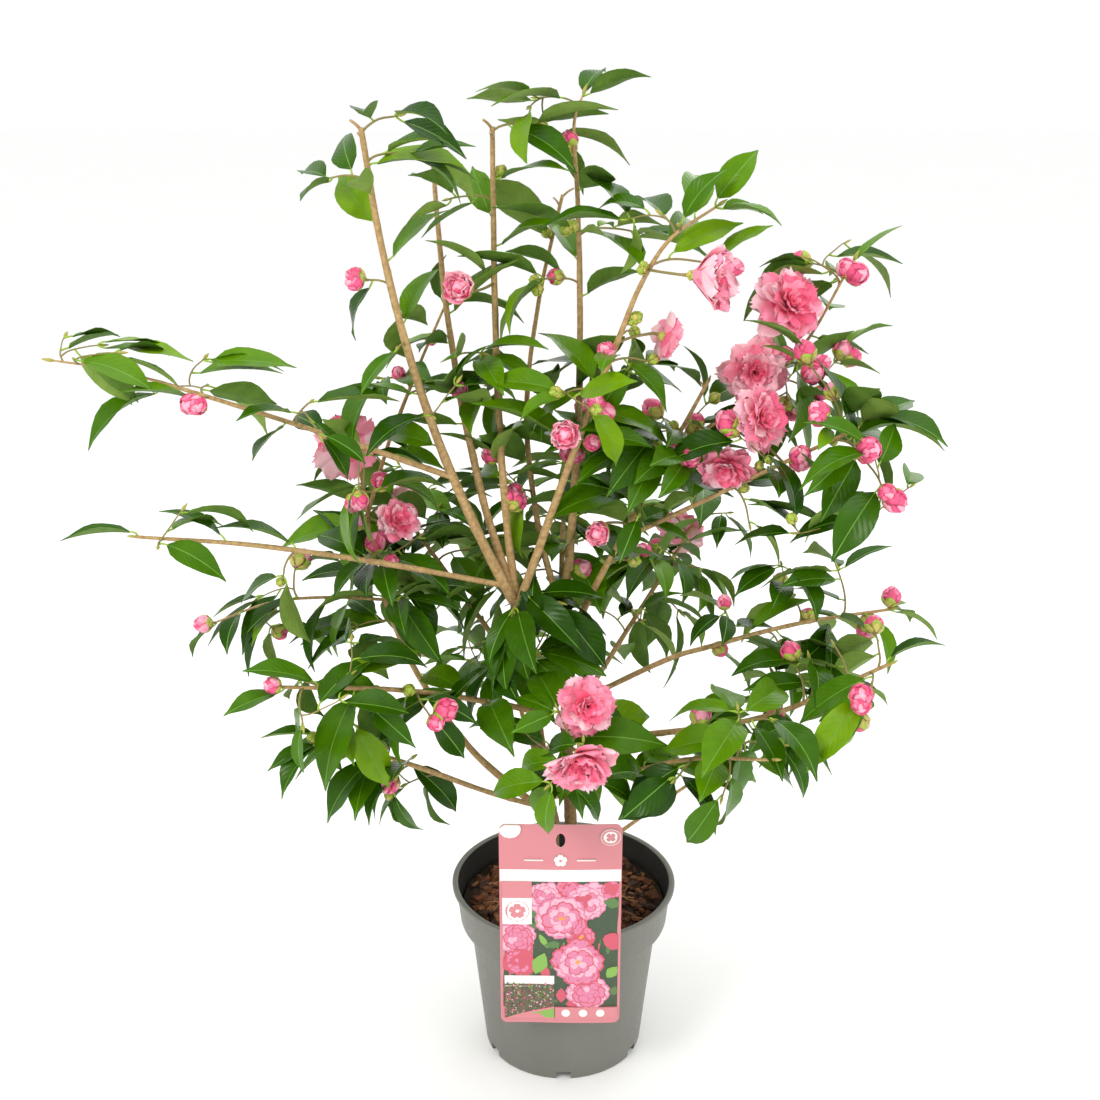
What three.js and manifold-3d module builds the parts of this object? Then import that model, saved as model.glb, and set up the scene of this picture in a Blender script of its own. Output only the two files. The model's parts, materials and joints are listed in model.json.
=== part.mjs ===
// A camellia shrub in its nursery pot, in millimetres with +Z up.
// The origin is the centre of the pot's flat underside. The label faces -Y, and the
// headings of the boughs are turned from +X towards +Y, in degrees.

import * as THREE from 'three';
import { mergeVertices } from 'three/addons/utils/BufferGeometryUtils.js';
import Module from 'manifold-3d';

const wasm = await Module();
wasm.setup();

// Driving dimensions. Pieces that touch keep `gap` between them.
const gap = 0.3;
const wallSides = 28;
const limbSides = 6;
const limbStep = 100;
const trunkStep = 26;
const curveSteps = 24;
const massFacets = 3;

const pot = {
  height: 189,
  rimRadius: 115.5,
  baseRadius: 81,
  shoulderRadius: 97,
  collarHeight: 50,
  collarTaper: 4,
  lip: 4,
  wall: 2.2,
  floor: 3,
  notches: 6,
  notch: { width: 15, height: 9, depth: 9 },
};

const soil = { level: 166, edgeDrop: 5, flatShare: 0.7 };

const label = {
  width: 117,
  height: 223,
  bottom: 95,
  thick: 1.0,
  corner: 7,
  shift: -4,
  slot: { width: 9, height: 16, down: 17 },
  tongue: { width: 26, drop: 20 },
};

// A trunk stands on the soil at `foot`, and is drawn from `rooting.depth` below it before it is
// cut flat there. A bough leaves its parent `on` at a share `at`
// of the parent's length. Each is `length` long, turns evenly from its first heading and
// rise to its last, and tapers from its first radius to its last. It ends where it enters
// the foliage mass `into`. One that has none runs on to its cut or bare end.
const trunks = {
  left_trunk: { foot: [-8, -2], length: 355, heading: [200, 206], rise: [86, 80], radius: [8.6, 6.2] },
  right_trunk: { foot: [14, 11], length: 332, heading: [160, 107], rise: [85, 88], radius: [6.8, 4.8] },
};
const rooting = { depth: 10, width: 200 };
const flare = { swell: 0.75, height: 26 };
const knuckle = { on: 'left_trunk', height: 97, swell: 0.5, spread: 13 };

const boughs = {
  leader_left: {
    on: 'left_trunk', at: 0.98, length: 470, heading: [190, 223], rise: [63, 83], radius: [5.2, 2.4],
  },
  leader_tall: {
    on: 'right_trunk', at: 0.98, length: 500, heading: [0, 0], rise: [84, 95], radius: [4.6, 1.6],
    into: 'top_tall',
  },
  leader_right: {
    on: 'left_trunk', at: 0.96, length: 400, heading: [-22, -21], rise: [72, 67], radius: [4.4, 2.0],
    into: 'top_right',
  },
  leader_mid_left: {
    on: 'left_trunk', at: 0.97, length: 425, heading: [160, 110], rise: [70, 82], radius: [4.2, 2.0],
  },
  leader_middle: {
    on: 'left_trunk', at: 0.92, length: 465, heading: [146, 83], rise: [80, 91], radius: [4.2, 2.2],
  },
  leader_inner: {
    on: 'right_trunk', at: 0.93, length: 425, heading: [195, -17], rise: [75, 77], radius: [3.4, 1.6],
  },
  arm_upper_left: {
    on: 'leader_left', at: 0.31, length: 350, heading: [191, 188], rise: [23, 19], radius: [3.0, 1.3],
    into: 'tip_upper_left',
  },
  arm_lower_left: {
    on: 'leader_left', at: 0.05, length: 350, heading: [199, 195], rise: [18, 13], radius: [3.2, 1.3],
    into: 'tip_lower_left',
  },
  stem_left: {
    on: 'left_trunk', at: 0.31, length: 430, heading: [181, 154], rise: [37, 91], radius: [4.0, 1.8],
    into: 'leaves_flower_left',
  },
  stem_left_fork: {
    on: 'stem_left', at: 0.85, length: 230, heading: [31, 24], rise: [72, 60], radius: [2.3, 1.4],
    into: 'leaves_fork_left',
  },
  twig_left: {
    on: 'stem_left', at: 0.66, length: 150, heading: [186, 200], rise: [10, -8], radius: [2.0, 1.2],
    into: 'leaves_twig_left',
  },
  bough_low_left: {
    on: 'left_trunk', at: 0.33, length: 260, heading: [215, 208], rise: [29, 37], radius: [3.2, 1.3],
    into: 'leaves_low_left',
  },
  bough_front_left: {
    on: 'left_trunk', at: 0.65, length: 270, heading: [222, 210], rise: [30, 5], radius: [3.0, 1.3],
    into: 'leaves_front_left',
  },
  bough_front: {
    on: 'left_trunk', at: 0.5, length: 215, heading: [-82, -62], rise: [42, 12], radius: [3.0, 1.3],
    into: 'leaves_front',
  },
  bough_right: {
    on: 'right_trunk', at: 0.86, length: 310, heading: [-21, -2], rise: [65, 63], radius: [3.8, 1.6],
  },
  arm_upper_right: {
    on: 'bough_right', at: 0.42, length: 270, heading: [-20, -22], rise: [31, 32], radius: [2.8, 1.2],
    into: 'leaves_upper_right',
  },
  arm_far_right: {
    on: 'bough_right', at: 0.75, length: 240, heading: [23, 25], rise: [20, 56], radius: [2.2, 1.3],
    into: 'leaves_far_right',
  },
  arm_lower_right: {
    on: 'right_trunk', at: 0.66, length: 335, heading: [11, 6], rise: [27, 3], radius: [3.4, 1.3],
    into: 'leaves_lower_right',
  },
  bough_low_right: {
    on: 'right_trunk', at: 0.56, length: 335, heading: [-25, -24], rise: [9, 41], radius: [3.4, 2.0],
    into: 'leaves_low_right',
  },
  bough_front_right: {
    on: 'left_trunk', at: 0.36, length: 315, heading: [-42, -48], rise: [33, 34], radius: [3.0, 1.4],
    into: 'leaves_front_right',
  },
  shoot_right: {
    on: 'right_trunk', at: 0.12, length: 190, heading: [20, 21], rise: [30, 26], radius: [2.6, 1.3],
  },
  bough_back_left: {
    on: 'left_trunk', at: 0.72, length: 285, heading: [138, 122], rise: [40, 22], radius: [3.2, 1.4],
    into: 'leaves_back_left',
  },
  bough_back_right: {
    on: 'right_trunk', at: 0.6, length: 300, heading: [48, 66], rise: [38, 16], radius: [3.2, 1.4],
    into: 'leaves_back_right',
  },
  bough_back_high: {
    on: 'right_trunk', at: 0.9, length: 240, heading: [96, 80], rise: [52, 30], radius: [3.0, 1.4],
    into: 'leaves_back_high',
  },
  bough_back_low: {
    on: 'left_trunk', at: 0.45, length: 230, heading: [110, 92], rise: [26, 8], radius: [3.0, 1.4],
    into: 'leaves_back_low',
  },
};

// The skin of a mass swells and dips in these waves, each `tall` at `count` radians to the
// mass's half length, run along the direction `run` and started by the mass's own number.
const waves = [
  { tall: 0.1, count: 3.1, run: [1, 0, 0], start: 1.7 },
  { tall: 0.09, count: 3.7, run: [0, 1, 0], start: 2.3 },
  { tall: 0.09, count: 4.3, run: [0.47, 0, 1], start: 0.9 },
  { tall: 0.05, count: 6.1, run: [1, 1, 0], start: 1 },
];

// A limb that meets another is cut back to `cut` times its radius, and foliage to `channel`
// times it, with the gap on top.
const around = { cut: 1.04, channel: 1.45 };

// A mass of foliage spreads along the stretch of its bough `on` between two shares of its
// length, and `past` both ends of it. `half` is its half width and half height, and `shift`
// moves it off the bough, to the side where its leaves hang or reach.
const foliage = {
  tip_upper_left: { on: 'arm_upper_left', from: 0.86, to: 1.0, past: 24, half: [38, 28] },
  leaves_upper_left: { on: 'arm_upper_left', from: 0.32, to: 0.74, past: 30, half: [46, 42] },
  tip_lower_left: { on: 'arm_lower_left', from: 0.5, to: 1.0, past: 18, half: [42, 28] },
  leaves_left: { on: 'stem_left', from: 0.5, to: 0.84, past: 22, half: [66, 60] },
  leaves_flower_left: { on: 'stem_left', from: 0.95, to: 1.0, past: 42, half: [50, 48] },
  leaves_twig_left: {
    on: 'twig_left', from: 0.5, to: 1.0, past: 34, half: [48, 48], shift: [0, 0, -12],
  },
  leaves_fork_left: { on: 'stem_left_fork', from: 0.45, to: 0.95, past: 28, half: [40, 38] },
  top_left: { on: 'leader_left', from: 0.84, to: 1.0, past: 26, half: [60, 66], shift: [5, 0, 8] },
  leaves_leader_left: {
    on: 'leader_left', from: 0.42, to: 0.72, past: 26, half: [46, 52], shift: [-8, 0, 0],
  },
  top_middle: { on: 'leader_middle', from: 0.78, to: 1.0, past: 26, half: [50, 60] },
  leaves_middle: { on: 'leader_middle', from: 0.4, to: 0.66, past: 24, half: [46, 46] },
  top_tall: { on: 'leader_tall', from: 0.95, to: 1.0, past: 22, half: [48, 44] },
  leaves_tall: { on: 'leader_tall', from: 0.66, to: 0.84, past: 26, half: [58, 56], shift: [12, 0, 0] },
  leaves_inner: { on: 'leader_inner', from: 0.14, to: 0.5, past: 20, half: [54, 52] },
  top_right: { on: 'leader_right', from: 0.9, to: 1.0, past: 36, half: [56, 60], shift: [34, 10, 12] },
  leaves_leader_right: { on: 'leader_right', from: 0.45, to: 0.76, past: 22, half: [50, 56] },
  leaves_right: { on: 'bough_right', from: 0.45, to: 0.95, past: 28, half: [56, 60] },
  leaves_far_right: { on: 'arm_far_right', from: 0.5, to: 1.0, past: 40, half: [56, 54] },
  leaves_upper_right: {
    on: 'arm_upper_right', from: 0.6, to: 1.0, past: 36, half: [60, 52], shift: [0, 0, -6],
  },
  leaves_lower_right: { on: 'arm_lower_right', from: 0.6, to: 1.0, past: 34, half: [62, 56] },
  leaves_low_right: {
    on: 'bough_low_right', from: 0.4, to: 1.0, past: 40, half: [60, 58], shift: [0, 0, -14],
  },
  leaves_front_right: {
    on: 'bough_front_right', from: 0.5, to: 1.0, past: 30, half: [60, 54], shift: [0, 0, -18],
  },
  leaves_front: { on: 'bough_front', from: 0.3, to: 1.0, past: 24, half: [66, 52] },
  leaves_centre: { on: 'left_trunk', from: 0.82, to: 1.0, past: 26, half: [76, 66], shift: [8, 0, 0] },
  leaves_front_left: { on: 'bough_front_left', from: 0.4, to: 1.0, past: 34, half: [54, 48] },
  leaves_low_left: {
    on: 'bough_low_left', from: 0.62, to: 1.0, past: 46, half: [52, 50], shift: [-14, 0, -14],
  },
  leaves_back_left: { on: 'bough_back_left', from: 0.5, to: 1.0, past: 44, half: [76, 66] },
  leaves_back_right: { on: 'bough_back_right', from: 0.5, to: 1.0, past: 44, half: [76, 68] },
  leaves_back_high: { on: 'bough_back_high', from: 0.4, to: 1.0, past: 44, half: [74, 60] },
  leaves_back_low: { on: 'bough_back_low', from: 0.5, to: 1.0, past: 40, half: [72, 46] },
};

const finishes = {
  pot: { color: '#7c7c74', roughness: 0.42 },
  soil: { color: '#4a2814', roughness: 0.95 },
  label: { color: '#f0879a', roughness: 0.3 },
  trunk: { color: '#7d6248', roughness: 0.85 },
  bough: { color: '#9a7a56', roughness: 0.8 },
  leaf: { color: '#2a6414', roughness: 0.4 },
};

const group = new THREE.Group();

function addMesh(name, geometry, finish) {
  geometry.computeVertexNormals();
  const material = new THREE.MeshStandardMaterial({ ...finishes[finish], metalness: 0 });
  const mesh = new THREE.Mesh(geometry, material);
  mesh.name = name;
  group.add(mesh);
}

// Closed mesh to solid and back, for the joins and cuts.
function toSolid(geometry) {
  const bare = geometry.clone();
  bare.deleteAttribute('normal');
  bare.deleteAttribute('uv');
  const merged = mergeVertices(bare, 1e-3);
  return new wasm.Manifold(new wasm.Mesh({
    numProp: 3,
    vertProperties: new Float32Array(merged.attributes.position.array),
    triVerts: new Uint32Array(merged.index.array),
  }));
}

function toGeometry(solid) {
  const mesh = solid.getMesh();
  const geometry = new THREE.BufferGeometry();
  geometry.setAttribute('position', new THREE.BufferAttribute(mesh.vertProperties, 3));
  geometry.setIndex(new THREE.BufferAttribute(mesh.triVerts, 1));
  return geometry;
}

function largestBody(solid) {
  return solid.decompose().sort((a, b) => b.volume() - a.volume())[0];
}

// Pot: a turned cup with a deep collar and lip, and notches in its foot for drainage.
function wallRadius(height) {
  const shoulder = pot.height - pot.collarHeight;
  return pot.baseRadius + (pot.shoulderRadius - pot.baseRadius) * Math.min(1, height / shoulder);
}

function turned(profile) {
  const points = profile.map(([radius, height]) => new THREE.Vector2(radius, height));
  return new THREE.LatheGeometry(points, wallSides).rotateX(Math.PI / 2);
}

function addPot() {
  const shoulder = pot.height - pot.collarHeight;
  const collarFoot = pot.rimRadius - pot.lip - pot.collarTaper;
  const step = pot.wall * 2.5;
  let solid = toSolid(turned([
    [0, 0],
    [pot.baseRadius, 0],
    [wallRadius(shoulder), shoulder],
    [collarFoot, shoulder + step],
    [pot.rimRadius - pot.lip, pot.height - pot.lip],
    [pot.rimRadius, pot.height - pot.lip],
    [pot.rimRadius, pot.height],
    [pot.rimRadius - pot.lip - pot.wall, pot.height],
    [collarFoot - pot.wall, shoulder + step],
    [wallRadius(shoulder) - pot.wall, shoulder],
    [wallRadius(pot.floor) - pot.wall, pot.floor],
    [0, pot.floor],
  ]));
  const { width, height, depth } = pot.notch;
  for (let i = 0; i < pot.notches; i += 1) {
    const cutter = new THREE.BoxGeometry(depth * 2, width, height * 2);
    cutter.translate(pot.baseRadius, 0, 0);
    cutter.rotateZ((i + 0.5) * 2 * Math.PI / pot.notches);
    solid = solid.subtract(toSolid(cutter));
  }
  addMesh('pot', toGeometry(solid), 'pot');
}

// Soil and root ball in one: it fills the pot up to the soil level, flat where the stems stand.
function addSoil() {
  const shoulder = pot.height - pot.collarHeight;
  const inset = pot.wall + gap;
  const collarFoot = pot.rimRadius - pot.lip - pot.collarTaper;
  const low = pot.notch.height + gap;
  addMesh('soil', toGeometry(toSolid(turned([
    [0, low],
    [wallRadius(low) - inset, low],
    [wallRadius(shoulder) - inset, shoulder],
    [collarFoot - inset, shoulder + pot.wall * 2.5],
    [collarFoot - inset, soil.level - soil.edgeDrop],
    [collarFoot * soil.flatShare, soil.level],
    [0, soil.level],
  ]))), 'soil');
}

// Label: a rounded card with a hanging slot, and a tongue behind it that hooks over the lip.
function addLabel() {
  const { width, height, corner, slot, tongue, thick } = label;
  const x = width / 2 - corner;
  const y = height / 2 - corner;
  const shape = new THREE.Shape();
  shape.absarc(x, y, corner, 0, Math.PI / 2);
  shape.absarc(-x, y, corner, Math.PI / 2, Math.PI);
  shape.absarc(-x, -y, corner, Math.PI, Math.PI * 1.5);
  shape.absarc(x, -y, corner, Math.PI * 1.5, Math.PI * 2);
  const hole = new THREE.Path();
  hole.absellipse(0, height / 2 - slot.down, slot.width / 2, slot.height / 2, 0, Math.PI * 2, true);
  shape.holes.push(hole);
  const front = -(pot.rimRadius + gap + thick);
  const settings = { depth: thick, bevelEnabled: false, curveSegments: 3 };
  const card = new THREE.ExtrudeGeometry(shape, settings)
    .rotateX(Math.PI / 2)
    .translate(label.shift, front + thick, label.bottom + height / 2);
  const inside = pot.rimRadius - pot.lip - pot.collarTaper - pot.wall - gap * 2;
  const back = -inside * Math.cos(Math.PI / wallSides);
  const bridge = new THREE.BoxGeometry(tongue.width, back - front, thick)
    .translate(label.shift, (front + back) / 2, pot.height + gap + thick / 2);
  const leg = new THREE.BoxGeometry(tongue.width, thick, tongue.drop)
    .translate(label.shift, back + thick / 2, pot.height + gap + thick - tongue.drop / 2);
  const solid = toSolid(card).add(toSolid(bridge)).add(toSolid(leg));
  addMesh('label', toGeometry(solid), 'label');
}

// A limb's centre line, walked a step at a time from its foot as its direction turns.
function centreLine(foot, { length, heading, rise }) {
  const points = [foot];
  for (let i = 0; i < curveSteps; i += 1) {
    const share = (i + 0.5) / curveSteps;
    const turn = THREE.MathUtils.degToRad(THREE.MathUtils.lerp(heading[0], heading[1], share));
    const climb = THREE.MathUtils.degToRad(THREE.MathUtils.lerp(rise[0], rise[1], share));
    const step = new THREE.Vector3(
      Math.cos(climb) * Math.cos(turn),
      Math.cos(climb) * Math.sin(turn),
      Math.sin(climb),
    );
    points.push(points[i].clone().addScaledVector(step, length / curveSteps));
  }
  return new THREE.CatmullRomCurve3(points);
}

// A closed cylinder bent along the centre line, its radius set by `radiusAt`.
function limbSolid(line, radiusAt, segments, sides = limbSides) {
  const geometry = new THREE.CylinderGeometry(1, 1, 1, sides, segments);
  const frames = line.computeFrenetFrames(segments, false);
  const position = geometry.attributes.position;
  for (let i = 0; i < position.count; i += 1) {
    const share = position.getY(i) + 0.5;
    const ring = Math.round(share * segments);
    const radius = radiusAt(share);
    const point = line.getPointAt(share)
      .addScaledVector(frames.normals[ring], position.getZ(i) * radius)
      .addScaledVector(frames.binormals[ring], position.getX(i) * radius);
    position.setXYZ(i, point.x, point.y, point.z);
  }
  return toSolid(geometry);
}

const lines = {};
const limbSolids = {};

// Builds a limb as it is, larger all round by the gap to cut the limbs that meet it, and
// as a square channel that it lies in where it runs through foliage.
function growLimb(name, line, radiusAt, segments) {
  lines[name] = line;
  let solid = limbSolid(line, radiusAt, segments);
  for (const { cutter } of Object.values(limbSolids)) {
    solid = solid.subtract(cutter);
  }
  limbSolids[name] = {
    solid: largestBody(solid),
    cutter: limbSolid(line, (share) => radiusAt(share) * around.cut + gap, segments),
    channel: limbSolid(line, (share) => radiusAt(share) * around.channel + gap, segments, 4),
  };
}

function growTrunks() {
  const { depth, width } = rooting;
  const below = new THREE.BoxGeometry(width, width, depth * 3);
  below.translate(0, 0, soil.level + gap - depth * 1.5);
  const ground = toSolid(below);
  for (const [name, trunk] of Object.entries(trunks)) {
    const foot = new THREE.Vector3(trunk.foot[0], trunk.foot[1], soil.level - depth);
    const [low, high] = trunk.radius;
    growLimb(name, centreLine(foot, trunk), (share) => {
      const height = Math.max(0, share * trunk.length - depth);
      const taper = THREE.MathUtils.lerp(low, high, share);
      const roots = flare.swell * Math.exp(-height / flare.height);
      const knob = Math.exp(-(((height - knuckle.height) / knuckle.spread) ** 2));
      return taper * (1 + roots + (name === knuckle.on ? knuckle.swell * knob : 0));
    }, Math.round(trunk.length / trunkStep));
    limbSolids[name].solid = limbSolids[name].solid.subtract(ground);
  }
}

function growBoughs() {
  for (const [name, bough] of Object.entries(boughs)) {
    const foot = lines[bough.on].getPointAt(bough.at);
    const [low, high] = bough.radius;
    const segments = Math.max(3, Math.round(bough.length / limbStep));
    growLimb(name, centreLine(foot, bough), (share) => THREE.MathUtils.lerp(low, high, share), segments);
  }
}

// An uneven solid: a ball whose radius swells and dips in waves of its own, stretched along
// the bough that carries it.
function massSolid(mass, seed, extra) {
  const line = lines[mass.on];
  const start = line.getPointAt(mass.from);
  const end = line.getPointAt(mass.to);
  const along = end.clone().sub(start);
  const halfLength = along.length() / 2 + mass.past;
  along.normalize();
  const side = new THREE.Vector3(-along.y, along.x, 0).normalize();
  const up = new THREE.Vector3().crossVectors(along, side);
  const centre = start.add(end).multiplyScalar(0.5);
  if (mass.shift) {
    centre.add(new THREE.Vector3(...mass.shift));
  }
  const geometry = new THREE.OctahedronGeometry(1, massFacets);
  const position = geometry.attributes.position;
  for (let i = 0; i < position.count; i += 1) {
    const x = position.getX(i);
    const y = position.getY(i);
    const z = position.getZ(i);
    const swell = waves.reduce((sum, { tall, count, run, start: first }) => {
      const reach = run[0] * x + run[1] * y + run[2] * z;
      return sum + tall * Math.sin(count * reach + first * seed);
    }, 1);
    const point = centre.clone()
      .addScaledVector(along, x * (swell * halfLength + extra))
      .addScaledVector(side, y * (swell * mass.half[0] + extra))
      .addScaledVector(up, z * (swell * mass.half[1] + extra));
    position.setXYZ(i, point.x, point.y, point.z);
  }
  return toSolid(geometry);
}

// Foliage is cut round the limbs that run through it and the masses next to it. A bough
// that ends in a mass is cut off where it enters, and the mass stays whole there.
function growFoliage() {
  const neighbours = [];
  const neighbourCutters = [];
  Object.entries(foliage).forEach(([name, mass], index) => {
    let solid = massSolid(mass, index + 1, 0);
    const cutter = massSolid(mass, index + 1, gap * 2);
    const entry = neighbours.reduce((rest, neighbour) => rest.subtract(neighbour), cutter);
    neighbours.push(solid);
    neighbourCutters.forEach((neighbour) => {
      solid = solid.subtract(neighbour);
    });
    neighbourCutters.push(cutter);
    for (const [limb, made] of Object.entries(limbSolids)) {
      if (boughs[limb]?.into === name) {
        made.solid = largestBody(made.solid.subtract(entry));
      } else {
        solid = solid.subtract(made.channel);
      }
    }
    addMesh(name, toGeometry(largestBody(solid)), 'leaf');
  });
}

addPot();
addSoil();
addLabel();
growTrunks();
growBoughs();
growFoliage();
for (const [name, { solid }] of Object.entries(limbSolids)) {
  addMesh(name, toGeometry(solid), name in trunks ? 'trunk' : 'bough');
}

export default group;
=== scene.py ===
import json
import math
import random

import bpy
import numpy as np
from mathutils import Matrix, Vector
from mathutils.bvhtree import BVHTree


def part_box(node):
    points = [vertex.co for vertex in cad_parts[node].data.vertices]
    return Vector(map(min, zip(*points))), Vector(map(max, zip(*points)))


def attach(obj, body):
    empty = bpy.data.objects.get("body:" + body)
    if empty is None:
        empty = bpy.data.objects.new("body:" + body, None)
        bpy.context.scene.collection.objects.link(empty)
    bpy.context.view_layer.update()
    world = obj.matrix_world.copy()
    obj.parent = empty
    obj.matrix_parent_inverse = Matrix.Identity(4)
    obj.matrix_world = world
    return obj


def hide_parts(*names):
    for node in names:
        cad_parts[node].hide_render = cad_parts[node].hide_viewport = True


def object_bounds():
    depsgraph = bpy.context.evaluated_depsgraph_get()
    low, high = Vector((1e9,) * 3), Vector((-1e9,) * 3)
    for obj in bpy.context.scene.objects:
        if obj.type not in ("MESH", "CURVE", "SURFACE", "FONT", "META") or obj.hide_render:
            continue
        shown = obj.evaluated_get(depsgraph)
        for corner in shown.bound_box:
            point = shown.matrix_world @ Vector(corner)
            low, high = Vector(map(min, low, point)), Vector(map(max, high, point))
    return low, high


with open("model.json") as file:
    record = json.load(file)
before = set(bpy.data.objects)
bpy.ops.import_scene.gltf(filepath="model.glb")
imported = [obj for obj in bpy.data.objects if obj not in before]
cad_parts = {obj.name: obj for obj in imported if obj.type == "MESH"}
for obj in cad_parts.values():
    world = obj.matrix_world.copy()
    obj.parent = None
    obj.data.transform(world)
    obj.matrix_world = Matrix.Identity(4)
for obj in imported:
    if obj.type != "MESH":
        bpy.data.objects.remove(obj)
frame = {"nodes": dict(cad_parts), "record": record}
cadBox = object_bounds()
mm = 0.001
print("frame loaded, box", [[round(v, 3) for v in corner] for corner in cadBox])


# small helpers

def hexToLinear(code):
    channels = [int(code[i:i + 2], 16) / 255 for i in (1, 3, 5)]
    return tuple(c / 12.92 if c <= 0.04045 else ((c + 0.055) / 1.055) ** 2.4 for c in channels) + (1.0,)


def addNode(tree, kind, inputs=None, output=0, **settings):  # gives back one output socket
    node = tree.nodes.new("ShaderNode" + kind)
    for key, value in settings.items():
        setattr(node, key, value)
    for key, value in (inputs or {}).items():
        if isinstance(value, bpy.types.NodeSocket):
            tree.links.new(value, node.inputs[key])
        else:
            node.inputs[key].default_value = value
    return node.outputs[output]


def newMaterial(name, shaderInputs):  # with its tree, its shader and the object's own coordinates
    material = bpy.data.materials.new(name)
    material.use_nodes = True
    tree = material.node_tree
    shader = tree.nodes["Principled BSDF"]
    for key, value in shaderInputs.items():
        shader.inputs[key].default_value = value
    return material, tree, shader, addNode(tree, "TexCoord", output="Object")


def deselectAll():
    for thing in bpy.context.selected_objects:
        thing.select_set(False)


def takeUp(piece):  # makes it the one selected and active piece
    deselectAll()
    piece.select_set(True)
    bpy.context.view_layer.objects.active = piece


def editAll(piece):  # into edit mode with everything selected
    takeUp(piece)
    bpy.ops.object.mode_set(mode="EDIT")
    bpy.ops.mesh.select_all(action="SELECT")


def selectFaces(piece, chosen):  # from edit mode and back, by each face's place and normal
    bpy.ops.mesh.select_all(action="DESELECT")
    bpy.ops.object.mode_set(mode="OBJECT")
    for face in piece.data.polygons:
        face.select = chosen(face.center, face.normal)
    bpy.ops.object.mode_set(mode="EDIT")


def primitive(maker, name, scale=(1, 1, 1), **settings):
    deselectAll()
    maker(**settings)
    piece = bpy.context.object
    piece.scale = scale
    piece.name = name
    piece.data.name = name
    return piece


def settle(piece):  # its place goes into the mesh
    takeUp(piece)
    bpy.ops.object.transform_apply(location=True, rotation=True, scale=True)


def applyModifier(piece, kind, **settings):
    bpy.context.view_layer.objects.active = piece
    modifier = piece.modifiers.new(kind.title(), kind)
    for key, value in settings.items():
        setattr(modifier, key, value)
    bpy.ops.object.modifier_apply(modifier=modifier.name)


def finishPiece(piece, slotName, *replaced):
    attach(piece, "root")
    if replaced:
        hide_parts(*replaced)


# joined pieces are made from arrays: each shape adds its points, faces, finishes and map

def newHeap():
    return {"points": [], "faces": [], "finish": [], "map": [], "edge": [], "count": 0}


def addShape(heap, points, faces, finish, uv=None, edge=None):
    start = heap["count"]
    heap["points"].append(points)
    heap["faces"].extend([tuple(start + i for i in face) for face in faces])
    heap["finish"].extend(finish)
    heap["map"].append(np.zeros((len(points), 2)) if uv is None else uv)
    heap["edge"].append(np.zeros(len(points), bool) if edge is None else edge)
    heap["count"] += len(points)


def heapToPiece(name, heap, materials, smooth=True):
    mesh = bpy.data.meshes.new(name)
    points = np.concatenate(heap["points"])
    mesh.from_pydata(points.tolist(), [], heap["faces"])
    mesh.polygons.foreach_set("material_index", heap["finish"])
    mesh.polygons.foreach_set("use_smooth", [smooth] * len(mesh.polygons))
    uvLayer = mesh.uv_layers.new(name="leafMap")
    corners = np.empty(len(mesh.loops), dtype=np.int32)
    mesh.loops.foreach_get("vertex_index", corners)
    uvLayer.data.foreach_set("uv", np.concatenate(heap["map"])[corners].astype(np.float32).ravel())
    edge = np.concatenate(heap["edge"])
    ends = np.empty(len(mesh.edges) * 2, dtype=np.int32)
    mesh.edges.foreach_get("vertices", ends)
    ends = ends.reshape(-1, 2)
    sharp = mesh.attributes.new("sharp_edge", "BOOLEAN", "EDGE")
    sharp.data.foreach_set("value", edge[ends[:, 0]] & edge[ends[:, 1]])
    for material in materials:
        mesh.materials.append(material)
    mesh.validate()
    piece = bpy.data.objects.new(name, mesh)
    bpy.context.scene.collection.objects.link(piece)
    return piece


def unit(vector):
    return vector / max(np.linalg.norm(vector), 1e-9)


def axesOf(along, up):  # three axes: along, across, and up made square to along
    along = unit(np.asarray(along, float))
    up = np.asarray(up, float)
    up = up - along * up.dot(along)
    if np.linalg.norm(up) < 1e-4:
        up = np.array([1.0, 0, 0]) - along * along[0]
    up = unit(up)
    return np.array([along, np.cross(up, along), up])


# camera, light and floor

studio = {
    "camera": (-0.014, -1.381, 1.048), "pitch": 19.8, "lens": 50.0, "sensor": 36.0,
    "lamps": {  # place, size, watts and colour
        "keyLight": ((-1.5, -1.9, 2.3), 0.8, 32, "#fffaf2"),
        "fillLight": ((1.9, -1.5, 1.3), 1.2, 12, "#fffdf8"),
        "topLight": ((0.2, 0.3, 2.7), 1.8, 12, "#ffffff"),
        "backLight": ((0.9, 2.0, 1.7), 1.4, 9, "#ffffff"),
    },
    "lampTarget": (0, 0, 0.5),
    "sky": "#ffffff", "skyStrength": 1.0,
    "floorSize": 24.0, "floor": "#fdfdfc", "floorGrain": 0.4,
}


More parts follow.
